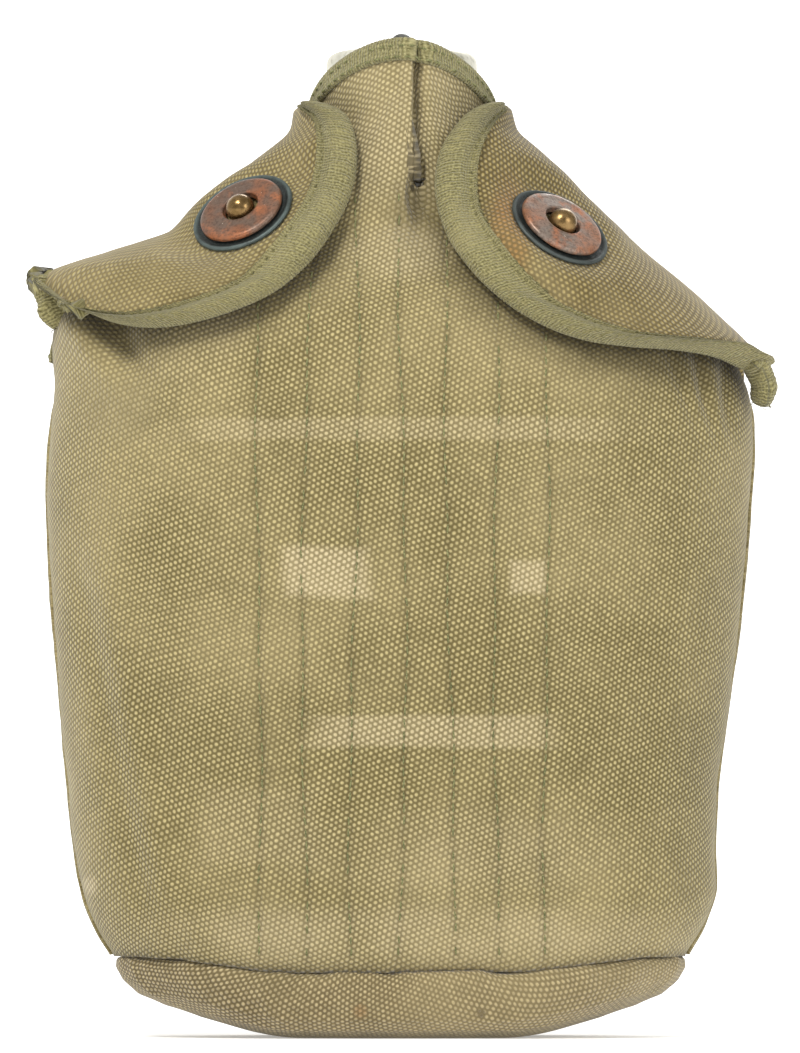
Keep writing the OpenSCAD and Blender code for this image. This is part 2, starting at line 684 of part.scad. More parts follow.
module flap_panel(side, g, n) {
  color([0.63, 0.57, 0.4])
    difference() {
      thick(g, moved(g, n, -canvas_t));
      at_snap(side)
        cylinder(r = clinch_bore_r, h = 20, center = true);
    }
}

module flap_binding(g, n) {
  c = len(g[0]) - 1;
  r = len(g) - 1;
  color([0.56, 0.55, 0.4])
    edge_tape([for (j = [0 : r]) [g[j][c], g[j][c - 1], n[j][c], n[j][c - 1]]], canvas_t, tape_t);
}

module flange(side) {
  color([0.2, 0.25, 0.24])
    at_snap(side, 0.05)
      difference() {
        rotate_extrude()
          polygon([[0, 0], [flange_r - 0.3, 0], [flange_r, 0.3], [flange_r, 0.7], [flange_r - 0.4, flange_t],
            [0, flange_t]]);
        cylinder(r = flange_bore_r, h = 10, center = true);
      }
}

module disc(side) {
  color([0.56, 0.4, 0.3])
    at_snap(side, flange_t + 0.05)
      difference() {
        rotate_extrude()
          polygon([[0, 0], [disc_r - 0.2, 0], [disc_r, 0.4], [disc_r, 1], [disc_r - 0.7, disc_t],
            [0, disc_t]]);
        translate([socket_shift, 0, 0])
          cylinder(r = socket_hole_r, h = 10, center = true);
      }
}

module clinch(side) {
  color([0.5, 0.42, 0.28])
    at_snap(side, -canvas_t - clinch_gap - clinch_t)
      difference() {
        cylinder(r = clinch_r, h = clinch_t);
        cylinder(r = clinch_bore_r, h = 10, center = true);
      }
}

module flap_left_panel() {
  flap_panel(-1, flap_left_grid, flap_left_n);
}

module flap_left_binding() {
  flap_binding(flap_left_grid, flap_left_n);
}

module flap_left_flange() {
  flange(-1);
}

module flap_left_disc() {
  disc(-1);
}

module flap_left_clinch() {
  clinch(-1);
}

module flap_right_panel() {
  flap_panel(1, flap_right_grid, flap_right_n);
}

module flap_right_binding() {
  flap_binding(flap_right_grid, flap_right_n);
}

module flap_right_flange() {
  flange(1);
}

module flap_right_disc() {
  disc(1);
}

module flap_right_clinch() {
  clinch(1);
}

// ---- studs ----

module snap_studs() {
  base = -canvas_t - flap_lift;
  color([0.5, 0.38, 0.22])
    for (side = [-1, 1])
      at_snap(side) {
        translate([0, 0, base - canvas_t - washer_t - 0.3])
          cylinder(r = post_tail_r, h = flap_lift + 2 * canvas_t + washer_t + 0.3 + ball_h);
        translate([0, 0, base + 0.05])
          cylinder(r = stud_foot_r, h = stud_foot_t);
        translate([0, 0, base + 0.05])
          cylinder(r = post_r, h = flap_lift + canvas_t + ball_h);
        translate([0, 0, ball_h])
          sphere(r = ball_r);
      }
}

module stud_washers() {
  color([0.5, 0.42, 0.28])
    for (side = [-1, 1])
      at_snap(side, -2 * canvas_t - flap_lift - washer_t - 0.15)
        difference() {
          cylinder(r = 4.4, h = washer_t);
          cylinder(r = post_tail_r + 0.02, h = 10, center = true);
        }
}

// ---- belt hook ----

module hook_tab() {
  r = wire_r + body_gap;
  color([0.52, 0.47, 0.3])
    translate([-tab_w / 2, 0, 0])
      rotate([90, 0, 90])
        linear_extrude(tab_w)
          difference() {
            union() {
              translate([tab_y, tab_low])
                square([2 * tab_t, bar_z - tab_low - r * 0.2]);
              translate([bar_y, bar_z])
                circle(r = r + tab_t);
            }
            translate([bar_y, bar_z])
              circle(r = r);
            square([tab_y - 0.02, bar_z + 100]);
          }
}

module belt_hook() {
  h = prong_gap / 2;
  c = wire_r + 1.2;
  color([0.34, 0.33, 0.3]) {
    translate([-h + c, bar_y, bar_z])
      rotate([0, 90, 0])
        cylinder(r = wire_r, h = 2 * (h - c));
    for (s = [-1, 1]) {
      translate([s * (h - c), bar_y, bar_z + c])
        rotate([90, 0, 0])
          rotate([0, 0, s < 0 ? 180 : 270])
            rotate_extrude(angle = 90)
              translate([c, 0])
                circle(r = wire_r);
      translate([s * h, bar_y, bar_z + c])
        cylinder(r = wire_r, h = leg_l - c);
      translate([s * h, bar_y + bend_r, bar_z + leg_l])
        rotate([90, 0, 90])
          rotate_extrude(angle = 180)
            translate([bend_r, 0])
              circle(r = wire_r);
      translate([s * h, bar_y + 2 * bend_r, bar_z + leg_l - tip_l])
        cylinder(r = wire_r, h = tip_l);
      translate([s * h, bar_y + 2 * bend_r, bar_z + leg_l - tip_l])
        sphere(r = wire_r);
    }
  }
}

bottle_lower_shell();
bottle_upper_shell();
bottle_weld();
neck_sleeve();
neck_thread();
neck_band();
cap_shell();
cap_thread();
cap_gasket();
cap_pin();
cap_chain();
front_panel();
back_panel();
bottom_panel();
front_lining();
back_lining();
bottom_lining();
front_binding();
back_binding();
side_seam_left();
side_seam_right();
quilt_stitching();
flap_left_panel();
flap_left_binding();
flap_left_flange();
flap_left_disc();
flap_left_clinch();
flap_right_panel();
flap_right_binding();
flap_right_flange();
flap_right_disc();
flap_right_clinch();
snap_studs();
stud_washers();
hook_tab();
belt_hook();
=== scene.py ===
"""Canteen in a canvas cover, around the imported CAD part. Sizes are in millimetres until a mesh is made."""

import math

import bpy
import numpy as np
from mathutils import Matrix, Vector


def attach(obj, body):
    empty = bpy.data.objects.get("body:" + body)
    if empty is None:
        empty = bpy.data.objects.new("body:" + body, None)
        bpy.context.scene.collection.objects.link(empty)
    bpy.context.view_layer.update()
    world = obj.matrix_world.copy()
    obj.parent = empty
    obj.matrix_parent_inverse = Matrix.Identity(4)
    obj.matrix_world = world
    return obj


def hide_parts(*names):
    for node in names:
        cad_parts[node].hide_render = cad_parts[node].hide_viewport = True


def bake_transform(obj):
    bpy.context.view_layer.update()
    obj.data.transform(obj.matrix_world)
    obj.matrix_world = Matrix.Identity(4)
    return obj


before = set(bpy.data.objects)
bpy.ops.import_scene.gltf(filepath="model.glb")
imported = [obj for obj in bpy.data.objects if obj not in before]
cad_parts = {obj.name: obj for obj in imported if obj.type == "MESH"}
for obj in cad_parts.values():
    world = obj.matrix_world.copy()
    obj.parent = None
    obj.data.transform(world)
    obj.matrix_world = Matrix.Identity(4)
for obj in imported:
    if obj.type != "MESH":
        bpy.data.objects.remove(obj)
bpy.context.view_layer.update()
MM = 0.001
DETAIL = 1.0

# ---- driving sizes, as in the CAD source ----

CANVAS = 1.3
FELT = 2.2
TAPE = 0.85
SEAM_Z = 14
CORNER_Z = 147
FRONT_TOP_Z = 216.8
COLLAR_SIDE_Z = 205.6
BACK_TOP_Z = 194
LINING_TOP_Z = 188
STITCH_ROWS = 7
STITCH_GAP = 10.3
FLANGE_R = 11.6
BALL_R = 3.15
BALL_H = 2.0
FLAP_LIFT = 2.4
TAB_Y = 37.15
TAB_W = 46
TAB_LOW = 108
BAR_Z = 148
SIDES = {"left": -1, "right": 1}
OUTLINE_STEPS = 2401
FRONT_ROUND = 2.35
BACK_ROUND = 3.4
BOTTLE_FRONT_ROUND = 2.3
BOTTLE_BACK_ROUND = 3
FRONT_FROM = 178
FRONT_TO = 362
STITCH_TOP = 182
WIRE_R = 1.75
BAR_Y = TAB_Y + 1.4 + 0.35 + WIRE_R

COVER_LEFT = [(14, 63), (20, 66), (28, 69), (34, 70.6), (47, 72.4), (63, 74), (78, 75.2), (96, 77),
              (118, 78), (129, 77.7), (140, 76.4), (147, 75.8), (153, 73.5), (160, 67.5), (168, 57),
              (172, 50), (184, 37), (195, 24.8), (200, 20.6), (204, 19.5), (230, 19.5)]
COVER_RIGHT = [(14, 62), (22, 65.6), (32, 68.8), (41, 68.4), (56, 69.2), (74, 71.7), (91, 74.2),
               (107, 75.8), (129, 77.4), (138, 77), (143, 75.8), (148, 73.4), (157, 65.2), (168, 52.6),
               (183, 36.8), (195, 24.8), (200, 20.6), (204, 19.5), (230, 19.5)]
COVER_FRONT = [(14, 33), (20, 35.5), (30, 38), (45, 39.8), (80, 41), (120, 41), (140, 40.2), (150, 38.6),
               (160, 35), (170, 30.2), (180, 25.6), (190, 22.6), (200, 21.6), (230, 21.4)]
COVER_BACK = [(14, 30), (20, 33), (30, 35.6), (45, 36.7), (80, 37), (150, 37), (158, 35.4), (166, 32),
              (174, 28.4), (184, 24.6), (194, 22.2), (204, 21.6)]
FLAP_LEFT = [(150, 80.6), (165, 80.6), (168, 78.5), (171.6, 66.6), (176, 51.5), (188, 38.4), (199, 25),
             (206, 23.6)]
FLAP_RIGHT = [(138, 81.2), (146, 80.4), (152, 76.6), (161.7, 66.6), (172.7, 53.6), (188, 38.6),
              (199, 25.6), (206, 23.6)]
FLAP_FRONT = [(138, 44.8), (150, 43.2), (160, 39.9), (170, 35.2), (180, 30.4), (190, 27), (200, 25.6),
              (206, 25.4)]
FLAP_BACK = [(138, 41), (150, 41), (158, 39.6), (166, 36.2), (174, 32.6), (184, 28.8), (194, 26.4),
             (206, 25.4)]
LEFT_EDGE = [(-19, 204.4), (-13.4, 200.5), (-11.2, 194), (-11.6, 186), (-14.6, 177.6), (-20.4, 168.4),
             (-29, 161.2), (-40, 156.4), (-52, 154), (-61.5, 154.8), (-69, 157.6), (-74.4, 161.2),
             (-79.2, 165.6)]
RIGHT_EDGE = [(19.6, 204.2), (14.4, 200), (9.8, 193), (8.4, 184.6), (10, 176.4), (14, 168.6),
              (20.6, 161.2), (30, 154.8), (40, 151), (50, 149.7), (60, 149.4), (69.4, 148.4), (77.6, 145.4)]
LEFT_ROOT = [(160, 203), (171.5, 168.6)]
RIGHT_ROOT = [(380, 203), (368, 148.6)]
SNAP_LEFT = (-34.3, 178.6)
SNAP_RIGHT = (34, 175.2)
SNAP_LEFT_N = (-0.38, -0.65, 0.66)
SNAP_RIGHT_N = (0.45, -0.58, 0.68)

# ---- small maths ----


def unit(v):
    v = np.asarray(v, float)
    return v / np.maximum(np.linalg.norm(v, axis=-1, keepdims=True), 1e-9)


def mix(a, b, t):
    return a + (b - a) * t


def smooth(t):
    t = np.clip(t, 0, 1)
    return t * t * (3 - 2 * t)


def bump(x, centre, width):
    return np.exp(-(((x - centre) / width) ** 2))


class Profile:
    """A size that changes smoothly with height, from a few rows of (height, size)."""

    def __init__(self, rows, soften=2.2):
        z, v = np.array(rows, float).T
        self.z = np.arange(z[0] - 20, z[-1] + 20, 0.4)
        v = np.interp(self.z, z, v)
        n = int(soften * 3 / 0.4)
        k = np.exp(-((np.arange(-n, n + 1) * 0.4 / soften) ** 2))
        self.v = np.convolve(np.pad(v, n, mode="edge"), k / k.sum(), mode="valid")

    def __call__(self, z):
        return np.interp(z, self.z, self.v)


def spline(points, n):
    """n points evenly spaced along a smooth open curve through the given points."""
    p = np.array(points, float)
    p = np.vstack([2 * p[0] - p[1], p, 2 * p[-1] - p[-2]])
    out = [curve_piece(*p[i - 1 : i + 3], 40) for i in range(1, len(p) - 2)]
    out = np.vstack(out + [p[-2][None]])
    return even(out, n)


def lengths_along(points):
    """The distance along a line from its first point to each point."""
    return np.r_[0, np.cumsum(np.linalg.norm(np.diff(points, axis=0), axis=1))]


def resample(s, at, values):
    """Each column of values, known at the given places, read at the places s."""
    return np.stack([np.interp(s, at, values[:, k]) for k in range(values.shape[1])], 1)


def even(points, n):
    """The same curve with n points evenly spaced along it."""
    length = lengths_along(points)
    return resample(np.linspace(0, length[-1], n), length, points)


def curve_piece(a, b, c, d, steps):
    """Points of a smooth curve from b towards c, with a before them and d after."""
    t = np.linspace(0, 1, steps, endpoint=False)[:, None]
    return 0.5 * (2 * b + (c - a) * t + (2 * a - 5 * b + 4 * c - d) * t ** 2
                  + (3 * b - a - 3 * c + d) * t ** 3)


def circle(n):
    """n angles evenly spaced round a full turn."""
    return np.linspace(0, 2 * math.pi, n, endpoint=False)


def fine(n):
    return int(n * DETAIL)


def across(n):
    """Two directions at right angles to n and to each other."""
    x = unit(np.cross(n, (0, 0, 1)))
    return x, np.cross(n, x)


def averaged(points, n):
    """The same line with each point moved to the mean of its n nearest, but for the ends."""
    out = points.copy()
    for k in range(points.shape[1]):
        out[n // 2 : -(n // 2), k] = np.convolve(points[:, k], np.ones(n) / n, mode="valid")
    return out


def hashed(i, j, seed):
    v = np.sin(i * 127.1 + j * 311.7 + seed * 74.7) * 43758.5453
    return v - np.floor(v)


def noise(x, y, seed=0):
    """Smooth value noise between -1 and 1."""
    i, j = np.floor(x), np.floor(y)
    u, v = smooth(x - i), smooth(y - j)
    a = mix(hashed(i, j, seed), hashed(i + 1, j, seed), u)
    b = mix(hashed(i, j + 1, seed), hashed(i + 1, j + 1, seed), u)
    return 2 * mix(a, b, v) - 1


# ---- the cover's surfaces ----

cover_left, cover_right = Profile(COVER_LEFT), Profile(COVER_RIGHT)
cover_front, cover_back = Profile(COVER_FRONT), Profile(COVER_BACK)
flap_widths = {-1: Profile(FLAP_LEFT, 1.4), 1: Profile(FLAP_RIGHT, 1.4)}
flap_front, flap_back = Profile(FLAP_FRONT), Profile(FLAP_BACK)


def roundness(z):
    return smooth((z - 148) / 46)


def outline(a, z, left, right, front, back, front_round=FRONT_ROUND, back_round=BACK_ROUND):
    """Point of the rounded outline at angle a in degrees: 180 is left and 270 is front."""
    c, s = np.cos(np.radians(a)), np.sin(np.radians(a))
    e = 2 / np.where(s < 0, mix(front_round, 2, roundness(z)), mix(back_round, 2, roundness(z)))
    x = np.sign(c) * np.where(c < 0, left, right) * np.abs(c) ** e
    y = np.sign(s) * np.where(s < 0, front, back) * np.abs(s) ** e
    return np.stack([x, y, z + 0 * x], -1)


def cover_point(a, z):
    return outline(a, z, cover_left(z), cover_right(z), cover_front(z), cover_back(z))


def flap_point(a, z, side):
    w = flap_widths[side](z)
    return outline(a, z, w, w, flap_front(z), flap_back(z))


def flap_angle(x, z, side):
    e = mix(FRONT_ROUND, 2, roundness(z)) / 2
    c = np.degrees(np.arccos(np.clip(np.abs(x) / flap_widths[side](z), 0, 1) ** e))
    return 180 + c if side < 0 else 360 - c


def flatten(p, centre, n, r1, r2):
    """Moves points onto a plane within r1 of its centre, fading out at r2."""
    off = (centre - p) @ n
    d = np.linalg.norm(p - centre + off[..., None] * n, axis=-1)
    w = 1 - smooth((d - r1) / (r2 - r1))
    return p + (off * w)[..., None] * n


def grid_normals(g):
    du = np.gradient(g, axis=1)
    dv = np.gradient(g, axis=0)
    return unit(np.cross(du, dv))


SNAP = {}
for snap_side, (sx, sz), sn in ((-1, SNAP_LEFT, SNAP_LEFT_N), (1, SNAP_RIGHT, SNAP_RIGHT_N)):
    angle = flap_angle(np.array(float(sx)), np.array(float(sz)), snap_side)
    SNAP[snap_side] = (flap_point(angle, np.array(float(sz)), snap_side), unit(sn))


def with_studs(p):
    for centre, n in SNAP.values():
        p = flatten(p, centre - n * (CANVAS + FLAP_LIFT), n, 7, 17)
    return p


def boat(p):
    """Lifts the ends of the bottom, which hangs lowest in its middle."""
    lift = 5.5 * smooth((np.abs(p[..., 0]) - 22) / 34) * (1 - smooth((p[..., 2] - 2) / 30))
    q = p.copy()
    q[..., 2] += lift
    return q


def rows_of_outline(z_rows, a0, a1, cols):
    """Rows of the cover at the given heights, their columns evenly spaced, and the columns' angles."""
    a = np.linspace(a0, a1, OUTLINE_STEPS)
    pts, angles = [], []
    for z in z_rows:
        p = cover_point(a, np.full_like(a, z))
        length = lengths_along(p)
        s = np.linspace(0, length[-1], cols)
        pts.append(resample(s, length, p))
        angles.append(np.interp(s, length, a))
    return np.array(pts), np.array(angles)


def cloth_uv(g):
    """Millimetres round from the middle column and up from the first row."""
    du = np.linalg.norm(np.diff(g, axis=1), axis=2)
    u = np.concatenate([np.zeros((len(g), 1)), np.cumsum(du, 1)], 1)
    middle = np.array([np.interp(0, row[:, 0] if row[-1, 0] > row[0, 0] else -row[:, 0], us)
                       for row, us in zip(g, u)])
    dv = np.linalg.norm(np.diff(g, axis=0), axis=2)
    v = np.concatenate([np.zeros((1, g.shape[1])), np.cumsum(dv, 0)], 0)
    return np.stack([u - middle[:, None], v], -1)


# ---- meshes ----


def make_mesh(name, verts, faces, uv=None):
    mesh = bpy.data.meshes.new(name)
    mesh.from_pydata((np.asarray(verts) * MM).tolist(), [], faces)
    mesh.validate()
    mesh.update()
    if uv is not None:
        layer = mesh.uv_layers.new(name="Cloth")
        index = np.zeros(len(mesh.loops), np.int32)
        mesh.loops.foreach_get("vertex_index", index)
        layer.data.foreach_set("uv", np.asarray(uv, np.float32)[index].ravel())
    rest = mesh.attributes.new("Rest", "FLOAT_VECTOR", "POINT")
    co = np.zeros(len(mesh.vertices) * 3, np.float32)
    mesh.vertices.foreach_get("co", co)
    rest.data.foreach_set("vector", co)
    mesh.shade_smooth()
    obj = bpy.data.objects.new(name, mesh)
    bpy.context.scene.collection.objects.link(obj)
    return obj


def store(obj, name, values):
    """Keeps one value at each point of a mesh, for its material."""
    layer = obj.data.attributes.new(name, "FLOAT", "POINT")
    layer.data.foreach_set("value", values.astype(np.float32))


def shell(name, outer, inner, uv=None, wrap=False):
    """A closed sheet between two matching grids of points, normals pointing out of the outer one."""
    nr, nc = outer.shape[:2]
    m = nr * nc
    idx = np.arange(m).reshape(nr, nc)
    nxt = np.roll(idx, -1, 1) if wrap else idx[:, 1:]
    cur = idx if wrap else idx[:, :-1]
    f = [np.stack([cur[:-1], nxt[:-1], nxt[1:], cur[1:]], -1).reshape(-1, 4),
         np.stack([cur[:-1] + m, cur[1:] + m, nxt[1:] + m, nxt[:-1] + m], -1).reshape(-1, 4),
         np.stack([cur[0], cur[0] + m, nxt[0] + m, nxt[0]], -1),
         np.stack([cur[-1], nxt[-1], nxt[-1] + m, cur[-1] + m], -1)]
    if not wrap:
        f.append(np.stack([idx[:-1, 0], idx[1:, 0], idx[1:, 0] + m, idx[:-1, 0] + m], -1))
        f.append(np.stack([idx[:-1, -1], idx[:-1, -1] + m, idx[1:, -1] + m, idx[1:, -1]], -1))
    verts = np.vstack([outer.reshape(-1, 3), inner.reshape(-1, 3)])
    both = None if uv is None else np.vstack([uv.reshape(-1, 2), uv.reshape(-1, 2)])
    return make_mesh(name, verts, np.vstack(f).tolist(), both)


def tube_rings(rings, closed_along=False, caps=True):
    """Vertices and faces of rings of points joined along a path."""
    nr, nc = rings.shape[:2]
    idx = np.arange(nr * nc).reshape(nr, nc)
    rows = range(nr if closed_along else nr - 1)
    faces = []
    for r in rows:
        a, b = idx[r], idx[(r + 1) % nr]
        faces += np.stack([a, np.roll(a, -1), np.roll(b, -1), b], -1).tolist()
    if caps and not closed_along:
        faces.append(idx[0][::-1].tolist())
        faces.append(idx[-1].tolist())
    return rings.reshape(-1, 3), faces


def merge(parts):
    verts, faces, start = [], [], 0
    for v, f in parts:
        verts.append(v)
        faces += [[i + start for i in q] for q in f]
        start += len(v)
    return np.vstack(verts), faces


def stitch_parts(path, normals, pitch=2.7, length=2.1, radius=0.26, lift=0.12, sway=0.0, seed=0):
    """Short bent threads along a path that lies on cloth."""
    seg = lengths_along(path)
    parts = []
    count = int(seg[-1] / pitch)
    for k in range(count):
        if hashed(k, 7, seed) > 0.88:
            continue
        s0 = (k + 0.15 + 0.08 * hashed(k, 3, seed)) * pitch
        s = np.linspace(s0, s0 + length, 7)
        p = resample(s, seg, path)
        n = unit(resample(s, seg, normals))
        t = unit(np.gradient(p, axis=0))
        b = unit(np.cross(t, n))
        arch = np.sin(np.linspace(0, math.pi, 7))
        side = sway * (hashed(k, 1, seed) - 0.5) * np.linspace(-1, 1, 7)
        p = p + n * (lift * arch - radius * 1.2 * (1 - arch))[:, None] + b * side[:, None]
        r = radius * (0.55 + 0.45 * arch)
        parts.append(tube_rings(round_rings(p, r[:, None, None], n, b, 6)))
    return parts


def round_rings(path, radius, one, other, sides):
    """A round section swept along a path; one and other are the directions across it at each point."""
    a = circle(sides)
    return path[:, None] + radius * (np.cos(a)[None, :, None] * one[:, None]
                                     + np.sin(a)[None, :, None] * other[:, None])


def tape_rings(edge, inward, normal, section):
    """A section swept along an edge. Its points are (in from the edge, out from the cloth)."""
    section = np.asarray(section, float)
    return (edge[:, None] + inward[:, None] * section[None, :, :1] + normal[:, None] * section[None, :, 1:])


def section_curve(points, n=30):
    """A closed smooth section through a few points."""
    p = np.array(points + points[:1], float)
    seg = []
    for i in range(len(p) - 1):
        before, after = p[i - 1 if i else -2], p[i + 2 if i + 2 < len(p) else 1]
        seg.append(curve_piece(before, p[i], p[i + 1], after, 12))
    out = np.vstack(seg + [p[-1:]])
    return even(out, n + 1)[:-1]


def tape_mesh(name, rings):
    """A closed tape from its rings, with millimetres along and across as its cloth coordinates."""
    verts, faces = tube_rings(rings)
    along = lengths_along(rings.mean(1))
    ring = np.linalg.norm(np.roll(rings, -1, 1) - rings, axis=2).mean(0)
    across = np.r_[0, np.cumsum(ring)[:-1]]
    uv = np.stack(np.meshgrid(along, across, indexing="ij"), -1).reshape(-1, 2)
    return make_mesh(name, verts, faces, uv)


# ---- looks ----


class Look:
    """A procedural material built node by node."""

    def __init__(self, name, roughness=0.8, metallic=0.0, bump=0.3, distance=0.0002):
        self.material = bpy.data.materials.new(name)
        self.material.use_nodes = True
        self.tree = self.material.node_tree
        self.tree.nodes.clear()
        self.out = self.node("OutputMaterial")
        self.shader = self.node("BsdfPrincipled")
        self.link(self.shader.outputs[0], self.out.inputs[0])
        self.shader.inputs["Roughness"].default_value = roughness
        self.shader.inputs["Metallic"].default_value = metallic
        self.bump_strength = bump
        self.bump_distance = distance

    def node(self, kind):
        return self.tree.nodes.new("ShaderNode" + kind)

    def link(self, a, b):
        self.tree.links.new(a, b)

    def put(self, socket, value):
        if isinstance(value, (int, float)):
            socket.default_value = value
        elif isinstance(value, tuple):
            socket.default_value = (*value, 1) if len(socket.default_value) == 4 else value
        else:
            self.link(value, socket)

    def math(self, kind, a, b=0.0, c=0.0):
        node = self.node("Math")
        node.operation = kind
        for socket, value in zip(node.inputs, (a, b, c)):
            self.put(socket, value)
        return node.outputs[0]

    def times(self, a, b):
        return self.math("MULTIPLY", a, b)

    def plus(self, a, b):
        return self.math("ADD", a, b)

    def minus(self, a, b):
        return self.math("SUBTRACT", a, b)

    def over(self, a, b):
        return self.math("DIVIDE", a, b)

    def ramp(self, value, low, high, to_low=0.0, to_high=1.0):
        node = self.node("MapRange")
        node.interpolation_type = "SMOOTHSTEP"
        for socket, item in zip(node.inputs, (value, low, high, to_low, to_high)):
            self.put(socket, item)
        return node.outputs[0]

    def mix(self, share, a, b, kind="MIX"):
        node = self.node("Mix")
        node.data_type = "RGBA"
        node.blend_type = kind
        self.put(node.inputs["Factor"], share)
        self.put(node.inputs[6], a)
        self.put(node.inputs[7], b)
        return node.outputs[2]

    def layer(self, name):
        """A value stored at each point of the mesh."""
        node = self.node("Attribute")
        node.attribute_name = name
        return node.outputs

    def rest(self):
        """Where a point is on the object before anything moves, in metres."""
        return self.layer("Rest")["Vector"]

    def place(self):
        node = self.node("TexCoord")
        return node.outputs["Object"]

    def cloth(self):
        node = self.node("UVMap")
        node.uv_map = "Cloth"
        return node.outputs[0]

    def scaled(self, vector, size):
        node = self.node("VectorMath")
        node.operation = "MULTIPLY"
        self.link(vector, node.inputs[0])
        node.inputs[1].default_value = size
        return node.outputs[0]

    def noise(self, vector, scale, detail=2.0, rough=0.55):
        node = self.node("TexNoise")
        self.link(vector, node.inputs["Vector"])
        node.inputs["Scale"].default_value = scale
        node.inputs["Detail"].default_value = detail
        node.inputs["Roughness"].default_value = rough
        return node.outputs["Fac"]

    def split(self, vector):
        node = self.node("SeparateXYZ")
        self.link(vector, node.inputs[0])
        return node.outputs

    def patch(self, vector, centre, half, wander, soft=0.28):
        """1 inside a box seen from the front, 0 outside, with a soft ragged edge. Sizes in metres."""
        x, _, z = self.split(vector)
        x = self.math("ABSOLUTE", self.over(self.minus(x, centre[0]), half[0]))
        z = self.math("ABSOLUTE", self.over(self.minus(z, centre[1]), half[1]))
        far = self.plus(self.math("MAXIMUM", x, z), self.times(wander, 0.7))
        return self.ramp(far, 1.35 + soft, 1.35 - soft)

    def spot(self, vector, centre, radius, soft=0.6):
        """1 inside an ellipsoid with the given radii, 0 outside, with a soft edge. Sizes in metres."""
        node = self.node("VectorMath")
        node.operation = "SUBTRACT"
        self.link(vector, node.inputs[0])
        node.inputs[1].default_value = centre
        size = self.scaled(node.outputs[0], tuple(1 / r for r in radius))
        length = self.node("VectorMath")
        length.operation = "LENGTH"
        self.link(size, length.inputs[0])
        return self.ramp(length.outputs["Value"], 1 + soft, 1 - soft)

    def done(self, colour, height=None, roughness=None):
        self.put(self.shader.inputs["Base Color"], colour)
        if roughness is not None:
            self.put(self.shader.inputs["Roughness"], roughness)
        if height is not None:
            node = self.node("Bump")
            node.inputs["Strength"].default_value = self.bump_strength
            node.inputs["Distance"].default_value = self.bump_distance
            self.link(height, node.inputs["Height"])
            self.link(node.outputs[0], self.shader.inputs["Normal"])
        return self.material


def colour(r, g, b):
    """A colour given as the eye names it, 0 to 255, as the shader wants it."""
    return tuple(round(((c / 255 + 0.055) / 1.055) ** 2.4, 4) for c in (r, g, b))


WEAVE_REPEAT = 2.02
WEAVE_ROW = 0.64
WEAVE_LEAN = math.radians(9)


def canvas_look(name, dot, gap, marks=(), patches=(), worn=0.3):
    """Plain-woven duck: pale raised threads in a brick pattern over darker gaps."""
    dot, gap = colour(*dot), colour(*gap)
    look = Look(name, 0.9, bump=0.8, distance=0.0003)
    look.shader.inputs["Sheen Weight"].default_value = 0.25
    look.shader.inputs["Sheen Roughness"].default_value = 0.5
    look.shader.inputs["Specular IOR Level"].default_value = 0.15
    uv, rest = look.cloth(), look.rest()
    u, v, _ = look.split(uv)
    slow = look.noise(uv, 0.03, 1.0)
    fast = look.noise(uv, 0.3, 1.0)
    u = look.plus(u, look.times(fast, 0.7))
    v = look.plus(v, look.times(slow, 4.0))
    v = look.plus(v, look.times(fast, 0.4))
    lean_u, lean_v = math.cos(WEAVE_LEAN), math.sin(WEAVE_LEAN)
    along = look.minus(look.times(u, lean_u), look.times(v, lean_v))
    along = look.over(along, WEAVE_REPEAT)
    row = look.plus(look.times(u, lean_v), look.times(v, lean_u))
    row = look.over(row, 2 * WEAVE_ROW)
    up = look.plus(along, row)
    down = look.minus(along, row)
    waves = [look.math("COSINE", look.times(w, 2 * math.pi)) for w in (up, down)]
    sideways = look.math("COSINE", look.times(along, 4 * math.pi))
    bumps = look.plus(look.plus(*waves), look.times(sideways, 0.85))
    dome = look.ramp(bumps, -1.3, 2.4, 0.04, 1.0)
    row = look.math("ROUND", up)
    cell = look.math("ROUND", down)
    white = look.node("TexWhiteNoise")
    white.noise_dimensions = "2D"
    both = look.node("CombineXYZ")
    look.link(cell, both.inputs[0])
    look.link(row, both.inputs[1])
    look.link(both.outputs[0], white.inputs["Vector"])
    each = look.ramp(white.outputs["Value"], 0.0, 1.0, 0.72, 1.1)
    fibre = look.noise(look.scaled(uv, (1.2, 5.0, 1.0)), 1.0, 3.0)
    top = look.mix(look.times(each, look.ramp(fibre, 0.2, 0.8, 0.75, 1.1)), gap, dot)
    shade = look.mix(dome, gap, top)
    broad = look.noise(rest, 22.0, 3.0, 0.6)
    shade = look.mix(look.ramp(broad, 0.35, 0.72, 0.0, worn), shade, colour(186, 170, 126))
    grime = look.noise(rest, 55.0, 3.0, 0.6)
    shade = look.mix(look.ramp(grime, 0.5, 0.85, 0.0, 0.3), shade, colour(92, 83, 54))
    # Dirt and painted shade: the front wall's stored mask holds the shadow under the flaps and the shade in
    # its folds and pleat. Broken up by the grime noise, it mixes the cloth towards dark brown.
    dirt_and_shade = look.times(look.layer("DirtAndShade")["Fac"], look.ramp(grime, 0.25, 0.65, 0.6, 1.0))
    shade = look.mix(dirt_and_shade, shade, colour(52, 44, 24))
    front_side = look.ramp(look.split(rest)[1], -0.004, 0.004, 1.0, 0.0)
    for centre, half, strength, tint in patches:
        spot = look.times(look.patch(rest, centre, half, grime), strength)
        spot = look.times(spot, front_side)
        spot = look.times(spot, look.ramp(fibre, 0.25, 0.6, 0.6, 1.0))
        shade = look.mix(spot, shade, look.mix(look.ramp(dome, 0.0, 1.0, 0.25, 1.0), shade, tint))
    for centre, radius, strength, tint in marks:
        spot = look.spot(rest, centre, radius)
        rough_edge = look.ramp(grime, 0.3, 0.6, 0.45, 1.0)
        spot = look.times(look.times(spot, rough_edge), strength)
        shade = look.mix(spot, shade, look.mix(look.ramp(dome, 0.0, 1.0, 0.3, 1.0), shade, tint))
    height = look.plus(dome, look.times(fibre, 0.35))
    return look.done(shade, height)


